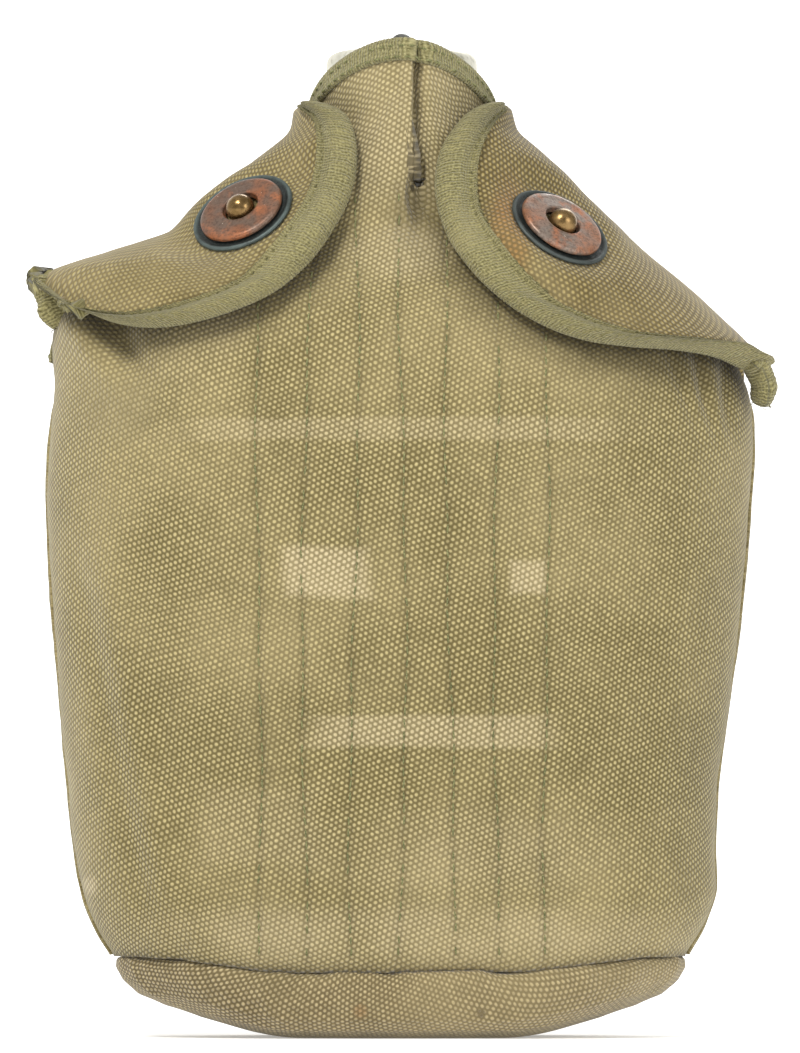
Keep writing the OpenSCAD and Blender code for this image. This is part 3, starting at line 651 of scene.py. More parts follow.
def tape_look(name, light, dark):
    """Narrow woven tape: fine ribs across it, mottled and rubbed."""
    light, dark = colour(*light), colour(*dark)
    look = Look(name, 0.92, bump=0.9, distance=0.00025)
    look.shader.inputs["Sheen Weight"].default_value = 0.2
    look.shader.inputs["Specular IOR Level"].default_value = 0.15
    uv, rest = look.cloth(), look.rest()
    u, v, _ = look.split(uv)
    wander = look.noise(uv, 0.5, 1.0)
    ribs = look.math("SINE", look.times(look.plus(u, wander), 2 * math.pi / 0.72))
    cross = look.math("SINE", look.times(look.plus(v, wander), 2 * math.pi / 0.8))
    weave = look.plus(look.times(ribs, 0.6), look.times(cross, 0.25))
    speck = look.noise(look.scaled(uv, (1.6, 1.0, 1.0)), 1.5, 3.0, 0.7)
    broad = look.noise(rest, 45.0, 3.0, 0.6)
    share = look.plus(look.ramp(speck, 0.3, 0.72, 0.1, 0.75), look.times(weave, 0.3))
    shade = look.mix(share, dark, light)
    shade = look.mix(look.ramp(broad, 0.45, 0.75, 0.0, 0.4), shade, colour(166, 156, 110))
    return look.done(shade, look.plus(weave, look.times(speck, 1.2)))


def metal_look(name, base, worn, dark, roughness, metallic=0.9, scale=120.0):
    """Metal with clouded colour, dark grime and fine scratches."""
    base, worn, dark = colour(*base), colour(*worn), colour(*dark)
    look = Look(name, roughness, metallic, 0.25, 0.0002)
    at = look.place()
    cloud = look.noise(at, scale, 4.0, 0.65)
    fine = look.noise(at, scale * 6, 3.0, 0.6)
    long = look.noise(look.scaled(at, (260.0, 900.0, 2600.0)), 1.0, 2.0)
    shade = look.mix(look.ramp(cloud, 0.35, 0.68), base, worn)
    shade = look.mix(look.ramp(fine, 0.52, 0.8, 0.0, 0.7), shade, dark)
    shade = look.mix(look.ramp(long, 0.66, 0.74, 0.0, 0.5), shade, worn)
    rough = look.ramp(cloud, 0.3, 0.75, roughness * 0.8, min(1.0, roughness * 1.35))
    height = look.plus(cloud, look.times(fine, 0.35))
    return look.done(shade, height, rough)


def snap_disc_look(name, warm, cool, centre, lean):
    """Copper with brown, orange and grey patina in patches, and tiny bright scratches."""
    warm, cool = colour(*warm), colour(*cool)
    look = Look(name, 0.55, 0.35, 0.6, 0.0002)
    at = look.place()
    cloud = look.noise(at, 260.0, 4.0, 0.6)
    patch = look.noise(at, 110.0, 2.0, 0.5)
    fine = look.noise(at, 1500.0, 3.0, 0.7)
    mid = look.spot(at, centre, (0.0065, 0.02, 0.0065), 0.5)
    share = look.plus(look.ramp(patch, 0.38, 0.62), look.times(mid, lean))
    shade = look.mix(share, warm, cool)
    shade = look.mix(look.ramp(cloud, 0.48, 0.7, 0.0, 0.6), shade, colour(196, 116, 66))
    shade = look.mix(look.ramp(fine, 0.42, 0.7, 0.0, 0.7), shade, colour(70, 50, 40))
    nick = look.noise(look.scaled(at, (2400.0, 2400.0, 500.0)), 1.0, 1.0)
    shade = look.mix(look.ramp(nick, 0.76, 0.8, 0.0, 0.8), shade, colour(226, 208, 190))
    rough = look.ramp(cloud, 0.3, 0.7, 0.34, 0.55)
    return look.done(shade, look.plus(cloud, look.times(fine, 0.4)), rough)


def flange_look(name, at_rim):
    """Blackened brass with a grey-green rim."""
    look = Look(name, 0.5, 0.45, 0.4, 0.00015)
    at = look.place()
    cloud = look.noise(at, 320.0, 4.0, 0.65)
    fine = look.noise(at, 1600.0, 3.0, 0.7)
    rim = look.times(look.layer("Rim")["Fac"], look.ramp(cloud, 0.3, 0.62, 0.35, 1.0))
    shade = look.mix(look.ramp(fine, 0.4, 0.75), colour(38, 43, 42), colour(66, 72, 68))
    shade = look.mix(rim, shade, colour(*at_rim))
    rough = look.ramp(cloud, 0.3, 0.7, 0.4, 0.65)
    return look.done(shade, look.plus(cloud, fine), rough)


def felt_look(name, base, fleck):
    look = Look(name, 1.0, bump=0.8, distance=0.0006)
    look.shader.inputs["Sheen Weight"].default_value = 0.4
    rest = look.rest()
    hair = look.noise(rest, 900.0, 4.0, 0.7)
    cloud = look.noise(rest, 60.0, 3.0, 0.6)
    shade = look.mix(look.ramp(hair, 0.35, 0.7), colour(*base), colour(*fleck))
    shade = look.mix(look.ramp(cloud, 0.5, 0.8, 0.0, 0.4), shade, colour(74, 68, 54))
    return look.done(shade, hair)


def thread_look(name, light, dark):
    light, dark = colour(*light), colour(*dark)
    look = Look(name, 0.85, bump=0.5, distance=0.0001)
    rest = look.rest()
    twist = look.noise(rest, 2600.0, 2.0)
    cloud = look.noise(rest, 160.0, 2.0)
    shade = look.mix(look.ramp(twist, 0.3, 0.7), dark, light)
    shade = look.mix(look.ramp(cloud, 0.5, 0.75, 0.0, 0.5), shade, dark)
    return look.done(shade, twist)


PALE = colour(206, 190, 152)
GREY = colour(104, 98, 78)
RUST = colour(160, 104, 48)
SHADOW = colour(84, 74, 44)
FRONT_MARKS = [
    ((0.0, -0.035, 0.022), (0.062, 0.03, 0.006), 0.55, PALE),
    ((-0.062, -0.03, 0.136), (0.008, 0.03, 0.007), 0.35, GREY),
    ((0.021, -0.035, 0.172), (0.006, 0.02, 0.007), 0.5, RUST),
    ((0.003, -0.035, 0.178), (0.006, 0.03, 0.010), 0.6, SHADOW),
    # painted highlight on the bulge below the pleat's pit
    ((-0.001, -0.035, 0.170), (0.010, 0.03, 0.006), 0.55, PALE),
    ((-0.068, -0.02, 0.033), (0.0016, 0.03, 0.002), 0.9, PALE),
    ((0.01, -0.035, 0.04), (0.03, 0.03, 0.009), 0.3, PALE),
    ((-0.045, -0.035, 0.165), (0.012, 0.03, 0.02), 0.3, PALE),
    ((-0.001, -0.03, 0.200), (0.02, 0.03, 0.018), 0.5, PALE),
]
FRONT_PATCHES = [
    ((-0.0164, 0.1), (0.009, 0.0052), 0.95, PALE),
    ((0.027, 0.099), (0.0036, 0.0034), 0.85, PALE),
    ((0.005, 0.066), (0.0245, 0.0033), 0.75, PALE),
    ((0.0, 0.131), (0.046, 0.0024), 0.45, PALE),
    ((-0.03, 0.046), (0.012, 0.008), 0.22, PALE),
]
BOTTOM_MARKS = [
    ((-0.009, -0.03, 0.006), (0.0014, 0.02, 0.0014), 0.8, RUST),
    ((0.017, -0.03, 0.0055), (0.001, 0.02, 0.001), 0.9, colour(60, 50, 40)),
]
looks = {
    "canvas": canvas_look("CanvasWall", (192, 177, 126), (96, 85, 49), FRONT_MARKS, FRONT_PATCHES),
    "canvas_bottom": canvas_look("CanvasBottom", (192, 175, 133), (94, 81, 52), BOTTOM_MARKS),
    "flap_canvas_left": canvas_look("CanvasFlapLeft", (180, 164, 109), (90, 77, 42),
                                    [((-0.05, -0.03, 0.165), (0.016, 0.03, 0.007), 0.3, SHADOW)]),
    "flap_canvas_right": canvas_look("CanvasFlapRight", (168, 150, 97), (84, 71, 37),
                                     [((0.0235, -0.03, 0.174), (0.004, 0.02, 0.012), 0.6, RUST)]),
    "hook_canvas": canvas_look("CanvasTab", (168, 156, 116), (76, 68, 42)),
    "edge_tape": tape_look("CollarTape", (178, 171, 124), (98, 93, 56)),
    "side_tape": tape_look("SideTape", (184, 170, 122), (104, 92, 56)),
    "flap_tape": tape_look("FlapTape", (178, 170, 120), (96, 90, 54)),
    "thread": thread_look("Thread", (142, 142, 96), (86, 88, 52)),
    "dark_thread": thread_look("ThreadDark", (134, 128, 84), (74, 70, 40)),
    "felt": felt_look("Felt", (124, 116, 96), (150, 142, 118)),
    "bottle": metal_look("BottleMetal", (176, 178, 176), (204, 205, 202), (122, 122, 118), 0.42),
    "weld": metal_look("WeldMetal", (150, 152, 150), (190, 191, 188), (96, 96, 92), 0.5),
    "band": metal_look("BandMetal", (120, 120, 116), (164, 164, 158), (84, 66, 48), 0.45),
    "cap": metal_look("CapMetal", (206, 203, 186), (228, 226, 214), (140, 134, 112), 0.5, 0.7),
    "gasket": metal_look("GasketRubber", (52, 48, 42), (74, 70, 62), (40, 36, 32), 0.8, 0.0),
    "pin": metal_look("PinMetal", (64, 64, 62), (112, 112, 108), (36, 34, 32), 0.42),
    "chain": metal_look("ChainMetal", (98, 94, 84), (150, 146, 132), (66, 48, 36), 0.4, 0.9, 400.0),
    "hook": metal_look("HookMetal", (70, 70, 66), (124, 122, 114), (78, 54, 38), 0.45),
    "washer": metal_look("WasherMetal", (126, 106, 70), (168, 144, 98), (70, 80, 66), 0.5),
    "ball": metal_look("BallMetal", (110, 86, 50), (150, 122, 80), (66, 50, 32), 0.26, 0.85, 300.0),
    "disc_left": snap_disc_look("SnapLeft", (156, 96, 60), (112, 92, 78),
                                tuple(SNAP[-1][0] * MM), 0.15),
    "disc_right": snap_disc_look("SnapRight", (150, 100, 68), (130, 116, 104),
                                 tuple(SNAP[1][0] * MM), 0.7),
    "flange_left": flange_look("FlangeLeft", (88, 100, 97)),
    "flange_right": flange_look("FlangeRight", (72, 79, 76)),
}


def finish_piece(obj, look, body=None, replaces=()):
    obj.data.materials.clear()
    obj.data.materials.append(looks[look])
    if replaces:
        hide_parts(*replaces)
    if body:
        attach(obj, body)
    return obj


def finish_parts(name, parts, look, body=None, replaces=()):
    return finish_piece(make_mesh(name, *merge(parts)), look, body, replaces)


# ---- front wall ----


def stitch_x(k):
    return (k - (STITCH_ROWS - 1) / 2) * STITCH_GAP


def stitch_sway(k, z):
    """Each row of stitches leans a little and wanders."""
    wander = 0.9 * np.sin(z / 31 + k * 1.7) + 0.3 * np.sin(z / 7.3 + k * 2.9)
    return wander + (z - 80) * 0.012 * (1 - k / 3) * 0.6


def column_of(a):
    return (a - FRONT_FROM) / (FRONT_TO - FRONT_FROM) * 28


def front_edge_z(a):
    arch = np.sin(np.radians((a - FRONT_FROM) / (FRONT_TO - FRONT_FROM) * 180))
    return COLLAR_SIDE_Z + (FRONT_TOP_Z - COLLAR_SIDE_Z) * np.clip(arch, 0, 1) ** 1.5


def pleat(i, z):
    """The cloth stands out on both sides of the crease, and its left side laps over the right."""
    body = bump(i, 15, 4.2)
    left = 1 + 0.25 * bump(i, 14.6, 0.8)
    right = 0.1 + 0.9 * smooth((i - 15.02) / 1.7)
    pit = 1 - 0.9 * bump(z, 182, 5) * bump(i, 15.3, 0.9)
    return 2.9 * smooth((z - 174) / 9) * body * np.where(i < 15.02, left, right) * pit


def wall_relief(p, front=True):
    """How far the cloth stands out from its plain surface: quilting, creases, puckers and wear."""
    x, z = p[..., 0], p[..., 2]
    d = 0.55 * noise(x / 23, z / 31, 3) + 0.3 * noise(x / 9, z / 14, 5) + 0.1 * noise(x / 4, z / 5, 8)
    low = bump(z, SEAM_Z, 9)
    d = d + low * 0.55 * noise(x / 4.4, z / 22 + 3, 11)
    d = d - 1.5 * bump(z, SEAM_Z - 0.5, 2.2)
    if front:
        for k in range(STITCH_ROWS):
            off = x - stitch_x(k) - stitch_sway(k, z)
            d = d - 0.5 * bump(off, 0, 0.85) * smooth((z - 12) / 6) * (1 - smooth((z - STITCH_TOP) / 10))
        quilt = np.abs(np.cos(math.pi * (x - stitch_sway(3, z)) / STITCH_GAP))
        d = d + 0.35 * quilt * (1 - smooth((np.abs(x) - 30) / 8)) * (1 - smooth((z - 165) / 14))
        low_side = smooth((z - 18) / 20) * (1 - smooth((z - 90) / 26))
        d = d - 0.9 * bump(x + 0.2 * (z - 70), -64, 3.2) * low_side
        d = d + 0.7 * bump(x + 0.2 * (z - 70), -58, 4.2) * low_side
        d = d - 2.5 * bump(x + 0.5 * (z - 150), -60.5, 4) * bump(z, 150, 6.5)
        d = d + 1.2 * bump(x + 0.5 * (z - 150), -67.5, 3.4) * bump(z, 150, 9)
        d = d + 4.6 * smooth((-x - 60) / 8) * bump(z, 156, 8)
        for fold_x, lean, depth in ((66, 0.25, 1.5), (71, 0.1, 1.3), (61, 0.4, 0.7)):
            d = d - depth * bump(x + lean * (z - 140), fold_x, 1.5) * bump(z, 141, 9)
        d = d - 0.8 * bump(x - 0.55 * (z - 200), -6, 2.2) * bump(z, 202, 8)
        d = d - 0.6 * bump(x - 0.5 * (z - 200), -10.5, 2) * bump(z, 199, 9)
        d = d + 1.3 * bump(x, -1.5, 5) * bump(z, 171, 5)
        d = d - 2.4 * bump(x + 0.03 * (z - 180), 3.1, 1.9) * bump(z, 182, 7)
    return d


def front_surface(n_rows, n_cols):
    z_low = np.linspace(SEAM_Z, 200, n_rows)
    pts, angles = rows_of_outline(z_low, FRONT_FROM, FRONT_TO, n_cols)
    a = angles[-1]
    i = column_of(angles)
    z = z_low[:, None] + 0 * i
    pts[..., 1] -= pleat(i, z)
    collar = []
    top = front_edge_z(a)
    steps = max(int(n_rows * 0.11), 8)
    for k in range(1, steps + 1):
        zz = mix(200, top, k / steps)
        p = cover_point(a, np.minimum(zz, 206))
        p[:, 1] += 0.06 * (zz - 205) * smooth((zz - 205) / 8) - pleat(column_of(a), zz)
        p[:, 2] = zz
        collar.append(p)
    pts = np.concatenate([pts, np.array(collar)], 0)
    return boat(with_studs(pts))


n_rows, n_cols = fine(232), fine(300)
front = front_surface(n_rows, n_cols)
front_n = grid_normals(front)
edge_fade = np.minimum(np.arange(n_cols), n_cols - 1 - np.arange(n_cols)) / n_cols
fade = smooth(edge_fade / 0.02)[None, :, None]
stud_fade = np.ones(front.shape[:2])
for centre, n in SNAP.values():
    far = np.linalg.norm(front - (centre - n * (CANVAS + FLAP_LIFT)), axis=-1)
    stud_fade *= smooth((far - 5) / 8)
front_out = front + front_n * (wall_relief(front) * stud_fade)[..., None] * fade
front_obj = shell("cover_front", front_out, front_out - grid_normals(front_out) * CANVAS,
                  cloth_uv(front))


def near_line(x, z, line, width):
    line = spline(line, 160)
    d = np.full(x.shape, 99.0)
    for px, pz in line:
        d = np.minimum(d, np.hypot(x - px, z - pz))
    return bump(d, 0, width)


fx, fz = front_out[..., 0], front_out[..., 2]
# Dirt and painted shade: a dark band just outside the flaps' edges, painted as their shadow and fading
# higher up. Painted shade also goes in the left fold under the flap corner, down the pleat's crease and in
# its pit. The bottom seam and the stitch rows get darker lines.
dirt_and_shade = 0.7 * np.maximum(near_line(fx, fz + 1, LEFT_EDGE, 5.5), near_line(fx, fz + 1, RIGHT_EDGE, 7))
dirt_and_shade = dirt_and_shade * (1 - 0.65 * smooth((fz - 166) / 14))
dirt_and_shade = np.maximum(dirt_and_shade, 0.6 * bump(fx + 0.5 * (fz - 150), -60, 4) * bump(fz, 152, 6))
crease = 2.7 + 0.02 * (fz - 178)
dirt_and_shade = np.maximum(dirt_and_shade, 0.95 * bump(fx, crease, 1.0) * smooth((fz - 175) / 5))
dirt_and_shade = np.maximum(dirt_and_shade, 0.9 * bump(fx, 3.1, 1.9) * bump(fz, 181, 6))
seam_line = SEAM_Z + 3.5 * smooth((np.abs(fx) - 22) / 34)
dirt_and_shade = np.maximum(dirt_and_shade, 0.6 * bump(fz, seam_line, 1.3))
for k in range(STITCH_ROWS):
    shown = smooth((fz - 12) / 6) * (1 - smooth((fz - STITCH_TOP) / 10))
    dirt_and_shade = np.maximum(dirt_and_shade, 0.25 * bump(fx, stitch_x(k) + stitch_sway(k, fz), 0.8) * shown)
store(front_obj, "DirtAndShade", np.tile(dirt_and_shade.ravel(), 2))
finish_piece(front_obj, "canvas", "canteen", ["front_panel"])

# ---- back wall ----


def back_from(z):
    return 2.1 + 2.6 * smooth((z - CORNER_Z + 9) / 9) + 6 * roundness(z)


def back_surface(n_rows, n_cols):
    rows = []
    for z in np.linspace(SEAM_Z, BACK_TOP_Z, n_rows):
        edge = float(back_from(np.array(z)))
        a = np.linspace(edge, 180 - edge, 1201)
        p = cover_point(a, np.full_like(a, z))
        rows.append(even(p, n_cols))
    return boat(np.array(rows))


back = back_surface(fine(190), fine(230))
back_n = grid_normals(back)
back_out = back + back_n * (wall_relief(back, False) * 0.7)[..., None]
flat_tab = smooth((np.abs(back[..., 0]) - TAB_W / 2 - 2) / 10) + smooth((TAB_LOW - 4 - back[..., 2]) / 12)
back_out = mix(back, back_out, np.clip(flat_tab, 0, 1)[..., None])
back_obj = shell("cover_back", back_out, back_out - grid_normals(back_out) * CANVAS, cloth_uv(back))
finish_piece(back_obj, "canvas", "canteen", ["back_panel"])

# ---- bottom ----

BOTTOM_RINGS = [(0.015, 0), (0.3, 0), (0.55, 0), (0.7, 0.5), (0.82, 1.7), (0.91, 4), (0.965, 7.4),
                (0.992, 11), (0.99, 13.6), (0.955, 14.6)]


def bottom_surface(n_rings, n_cols):
    ring = np.array(BOTTOM_RINGS, float)
    curve = even(np.stack([ring[:, 0] * 60, ring[:, 1]], 1), n_rings)
    a = np.linspace(0, 360, OUTLINE_STEPS)[:-1]
    seam = cover_point(a, np.full_like(a, SEAM_Z))
    closed = np.vstack([seam, seam[:1]])
    seam = even(closed, n_cols + 1)[:-1]
    rows = [np.stack([seam[:, 0] * s / 60, seam[:, 1] * s / 60, np.full(n_cols, z)], 1) for s, z in curve]
    return np.array(rows)


bottom = bottom_surface(fine(64) + 8, fine(420))
bottom_n = grid_normals(np.concatenate([bottom[:, -1:], bottom, bottom[:, :1]], 1))[:, 1:-1]
round_it = np.cumsum(np.linalg.norm(bottom[-1] - np.roll(bottom[-1], 1, 0), axis=1))
side_share = smooth((bottom[..., 2] - 0.6) / 5)
pucker = noise(round_it[None, :] / 5.5, bottom[..., 2] / 14, 21) * 0.5
pucker = pucker + noise(round_it[None, :] / 2.3, bottom[..., 2] / 9, 22) * 0.2
bottom_out = boat(bottom + bottom_n * (pucker * side_share)[..., None])
inner = boat(bottom) - bottom_n * CANVAS
spoke = np.cumsum(np.linalg.norm(np.diff(bottom, axis=0, prepend=bottom[:1]), axis=2), 0)
bottom_uv = unit(bottom[..., :2]) * spoke[..., None]
bottom_obj = shell("cover_bottom", bottom_out, inner, bottom_uv, wrap=True)
finish_piece(bottom_obj, "canvas_bottom", "canteen", ["bottom_panel"])

# ---- felt linings, hidden until the flaps are open ----


def lining(name, grid, top_z, node):
    n = grid_normals(grid)
    keep = [j for j in range(0, len(grid), 2) if grid[j, 0, 2] < top_z]
    cols = list(range(9, grid.shape[1] - 9, 2))
    g = grid[np.ix_(keep, cols)] - n[np.ix_(keep, cols)] * (CANVAS + 0.6)
    rough = 0.25 * noise(g[..., 0] / 2.4, g[..., 2] / 2.1, 31)
    m = n[np.ix_(keep, cols)]
    obj = shell(name, g, g - m * (FELT - 0.7 + rough[..., None]), cloth_uv(g))
    return finish_piece(obj, "felt", "canteen", [node]), g


felts = [lining("felt_front", front_out, LINING_TOP_Z, "front_lining"),
         lining("felt_back", back_out, LINING_TOP_Z, "back_lining")]
rings = bottom[: int(len(bottom) * 0.7) : 2, ::3]
rings_low = boat(rings * (0.985, 0.985, 1) + (0, 0, CANVAS + 0.5))
rings_top = boat(rings * (0.945, 0.945, 1) + (0, 0, CANVAS + FELT - 0.3))
felt_bottom = shell("felt_bottom", rings_low, rings_top, rings[..., :2], wrap=True)
finish_piece(felt_bottom, "felt", "canteen", ["bottom_lining"])

# ---- tape round the front wall's upper edge, and on the back ----


def ribbed(rings, pitch, depth, weight):
    """Fine cross ribs: each ring moves out and in along the tape, most where weight is 1."""
    centre = rings.mean(1)
    along = lengths_along(centre)
    wave = np.abs(np.sin(math.pi * along / pitch + 0.6 * np.sin(along / 3.1))) - 0.6
    out = rings.copy()
    step = unit(rings - centre[:, None])
    out += step * (wave[:, None] * depth * weight[None, :])[..., None]
    return out


COLLAR_SECTION = [(4.6, 0.06), (4.5, 0.55), (3.9, 1.15), (3.2, 0.85), (2.2, 0.8), (1.2, 0.95), (0.3, 0.85),
                  (-0.45, 0.2), (-0.5, -1.0), (0.1, -2.0), (1.4, -2.05), (3.2, -1.9), (4.5, -1.75),
                  (4.55, -1.4), (2.5, -1.38), (0.2, -1.35), (-0.05, -0.6), (0.15, 0.05), (2.5, 0.04)]


def collar_path(samples):
    """Up the left edge, over the arch and down the right: edge points, points inside, outward ways."""
    first = int(np.searchsorted(front[:, n_cols // 2, 2], CORNER_Z))
    step = max(int(4.4 / 0.75 * DETAIL), 1)
    sides = range(first, len(front) - step)
    left = [(front_out[j, 0], front_out[j, step], front_n[j, 0]) for j in sides]
    top = [(front_out[-1, i], front_out[-1 - step, i], front_n[-1, i]) for i in range(step, n_cols - step)]
    right = [(front_out[j, -1], front_out[j, -1 - step], front_n[j, -1]) for j in sides]
    rows = np.array(left + top + right[::-1])
    length = lengths_along(rows[:, 0])
    flat = resample(np.linspace(0, length[-1], samples), length, rows.reshape(len(rows), -1))
    flat = averaged(flat, 9)
    return flat[:, :3], flat[:, 3:6], unit(flat[:, 6:])


def sweep_tape(name, edge, inner, out_dir, section, pitch, look, body, node, depth=0.12):
    inward = unit(inner - edge)
    normal = unit(out_dir - inward * np.sum(out_dir * inward, -1, keepdims=True))
    curve = section_curve(section, 34)
    rings = tape_rings(edge, inward, normal, curve)
    weight = 0.35 + 0.65 * smooth((2.6 - curve[:, 0]) / 2)
    obj = tape_mesh(name, ribbed(rings, pitch, depth, weight))
    finish_piece(obj, look, body, [node] if node else [])
    return rings, inward, normal


samples = fine(1300)
c_edge, c_inner, c_out = collar_path(samples)
_, c_in, c_normal = sweep_tape("collar_tape", c_edge, c_inner, c_out, COLLAR_SECTION, 1.05, "edge_tape",
                               "canteen", "front_binding")
b_edge = back_out[-1]
b_inner = back_out[-1 - max(fine(6), 1)]
s_old = np.linspace(0, 1, len(b_edge))
s_new = np.linspace(0.005, 0.995, fine(420))
b_edge, b_inner, b_out = (resample(s_new, s_old, g) for g in (b_edge, b_inner, back_n[-1]))
sweep_tape("back_tape", b_edge, b_inner, b_out, COLLAR_SECTION, 1.05, "edge_tape", "canteen",
           "back_binding")

# ---- side seams: a flat tape with a raised row of stitches along each side ----


def side_seam(name, side, node):
    rows = np.linspace(SEAM_Z + 1, CORNER_Z + 1, fine(300))
    pts = []
    for z in rows:
        span = np.linspace(-6.5, 6.5, 25)
        base = 172.5 + span if side < 0 else 367.5 + span
        p = cover_point(base, np.full_like(span, z))
        keep = even(p, 25)
        pts.append(keep)
    g = boat(np.array(pts))
    n = grid_normals(g)
    t = np.linspace(-1, 1, 25)[None, :]
    back = 0.5 - 0.5 * t * side
    lift = 0.25 + 0.5 * smooth(back / 0.5) - 0.4 * np.abs(t) ** 8 + 0.08 * noise(g[..., 2] / 3, t * 3, 41)
    lift = 0.1 + lift * smooth((CORNER_Z - 3 - g[..., 2]) / 8)
    outer = g + n * lift[..., None]
    obj = shell(name, outer, g - n * 0.1, cloth_uv(g))
    finish_piece(obj, "side_tape", "canteen", [node])
    parts = []
    for c in (3, 12) if side < 0 else (12, 21):
        parts += stitch_parts(outer[:, c], n[:, c], 3.0, 2.2, 0.18, seed=c)
    finish_parts(name + "_stitches", parts, "thread", "canteen")


side_seam("side_tape_left", -1, "side_seam_left")
side_seam("side_tape_right", 1, "side_seam_right")

# ---- stitch rows down the front ----


def on_front(x, z):
    """The made front wall's nearest grid points, for things that lie on it."""
    rows = np.clip(np.searchsorted(front_out[:, n_cols // 2, 2], z), 1, len(front_out) - 1)
    points, normals = [], []
    for xx, j in zip(x, rows):
        line = front_out[j]
        points.append([np.interp(xx, line[:, 0], line[:, k]) for k in range(3)])
        normals.append([np.interp(xx, line[:, 0], front_n[j][:, k]) for k in range(3)])
    return np.array(points), unit(np.array(normals))


parts = []
for k in range(STITCH_ROWS):
    z = np.linspace(SEAM_Z + 3, 184, 300)
    path, normals = on_front(stitch_x(k) + stitch_sway(k, z), z)
    parts += stitch_parts(averaged(path, 13) + normals * 0.05, normals, 2.6, 2.3, 0.2, 0.1, 0.35, seed=k)
finish_parts("front_stitches", parts, "thread", "canteen", ["quilt_stitching"])

parts = []
for share, seed in ((3.9, 1), (1.4, 2)):
    path = c_edge + c_in * share + c_normal * (1.15 if share > 3 else 0.95)
    parts += stitch_parts(path, c_normal, 2.4, 1.7, 0.22, seed=seed)
finish_parts("collar_stitches", parts, "thread", "canteen")

# ---- the flaps ----

HEM_SHARE = 0.12
edge_curves = {-1: spline(LEFT_EDGE, 600), 1: spline(RIGHT_EDGE, 600)}
roots = {-1: np.array(LEFT_ROOT, float), 1: np.array(RIGHT_ROOT, float)}


def flap_surface(side, s, t):
    """A flap's outer face: s runs from the neck to the corner, t from the root to the free edge."""
    s = np.clip(s, 0, 1)
    line = edge_curves[side]
    at = np.linspace(0, 1, len(line))
    ex, ez = np.interp(s, at, line[:, 0]), np.interp(s, at, line[:, 1])
    ea = flap_angle(ex, ez, side)
    ra, rz = mix(roots[side][0, 0], roots[side][1, 0], s), mix(roots[side][0, 1], roots[side][1, 1], s)
    hem = np.clip(-t / HEM_SHARE, 0, 1)
    t = np.maximum(t, 0)
    a, z = mix(ra, ea, t) + side * 7 * hem, mix(rz, ez, t) - (11 - 5 * s) * hem
    out, base = flap_point(a, z, side), cover_point(a, z)
    low = base + unit(out - base) * (CANVAS + 2 * TAPE + 0.35 - 1.25 * smooth(hem))[..., None]
    p = mix(low, out, smooth(t / 0.35)[..., None])
    centre, n = SNAP[side]
    return flatten(p, centre, n, FLANGE_R + 1, FLANGE_R + 10)


def flap_normal(side, s, t, step=0.004):
    ds = flap_surface(side, np.minimum(s + step, 1), t) - flap_surface(side, np.maximum(s - step, 0), t)
    dt = flap_surface(side, s, t + step) - flap_surface(side, s, t - step)
    return unit(np.cross(ds, dt) * (1 if side > 0 else -1)) * -1


def flap_relief(side, p, from_edge, s):
    """Puckers along the tape, creases over the shoulder and a flat seat under the snap."""
    x, z = p[..., 0], p[..., 2]
    along = s * 120
    pucker = noise(along / 5.5, from_edge / 14, 51 + side) * bump(from_edge, 9, 6)
    d = 0.42 * pucker + 0.35 * noise(x / 15, z / 11, 53 + side) + 0.1 * noise(x / 5, z / 5, 55)
    far = np.linalg.norm(p - SNAP[side][0], axis=-1)
    return d * smooth((far - FLANGE_R - 0.5) / 4)


FLAP_SECTION = [(8.3, 0.05), (8.25, 0.6), (7.7, 1.3), (6.8, 0.55), (6.0, 0.9), (5.0, 1.6), (3.8, 2.2),
                (2.4, 2.5), (1.0, 2.3), (-0.3, 1.5), (-1.05, 0.3), (-1.2, -0.9), (-0.6, -1.9), (1.0, -2.25),
                (4.0, -2.1), (7.6, -2.0), (7.8, -1.5), (4.0, -1.4), (0.6, -1.36), (0.2, -0.6), (0.6, 0.02),
                (4.0, 0.03)]


def make_flap(side, word):
    rows, cols = fine(190), fine(150)
    s = np.linspace(0, 1, rows)[:, None] + np.zeros((1, cols))
    t = np.linspace(-HEM_SHARE, 0.995, cols)[None, :] + np.zeros((rows, 1))
    p = flap_surface(side, s, t)
    n = flap_normal(side, s, t)
    edge = flap_surface(side, s[:, 0], np.ones(rows))
    lengths = np.linalg.norm(np.diff(np.concatenate([p, edge[:, None]], 1), axis=1), axis=2)
    from_edge = np.cumsum(lengths[:, ::-1], 1)[:, ::-1]
    outer = p + n * flap_relief(side, p, from_edge, s)[..., None]
    facing = SNAP[side][1]
    right = unit(np.cross((0, 0, 1), facing))
    up = np.cross(facing, right)
    rim = np.stack([edge @ right, edge @ up], -1)
    middle = flap_surface(side, s[:, 0], np.full(rows, 0.6))
    lead = unit(np.stack([middle @ right, middle @ up], -1) - rim)
    flat_uv = rim[:, None] + lead[:, None] * from_edge[..., None]
    order = slice(None) if side > 0 else slice(None, None, -1)
    sheet = shell(f"flap_{word}_cloth", outer[order][::-1], (outer - n * CANVAS)[order][::-1],
                  flat_uv[order][::-1])
    finish_piece(sheet, f"flap_canvas_{word}", None, [f"flap_{word}_panel"])
    blend_flap(sheet)
    return sheet, p


def blend_flap(obj):
    """Bakes the object's placement into its mesh."""
    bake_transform(obj)


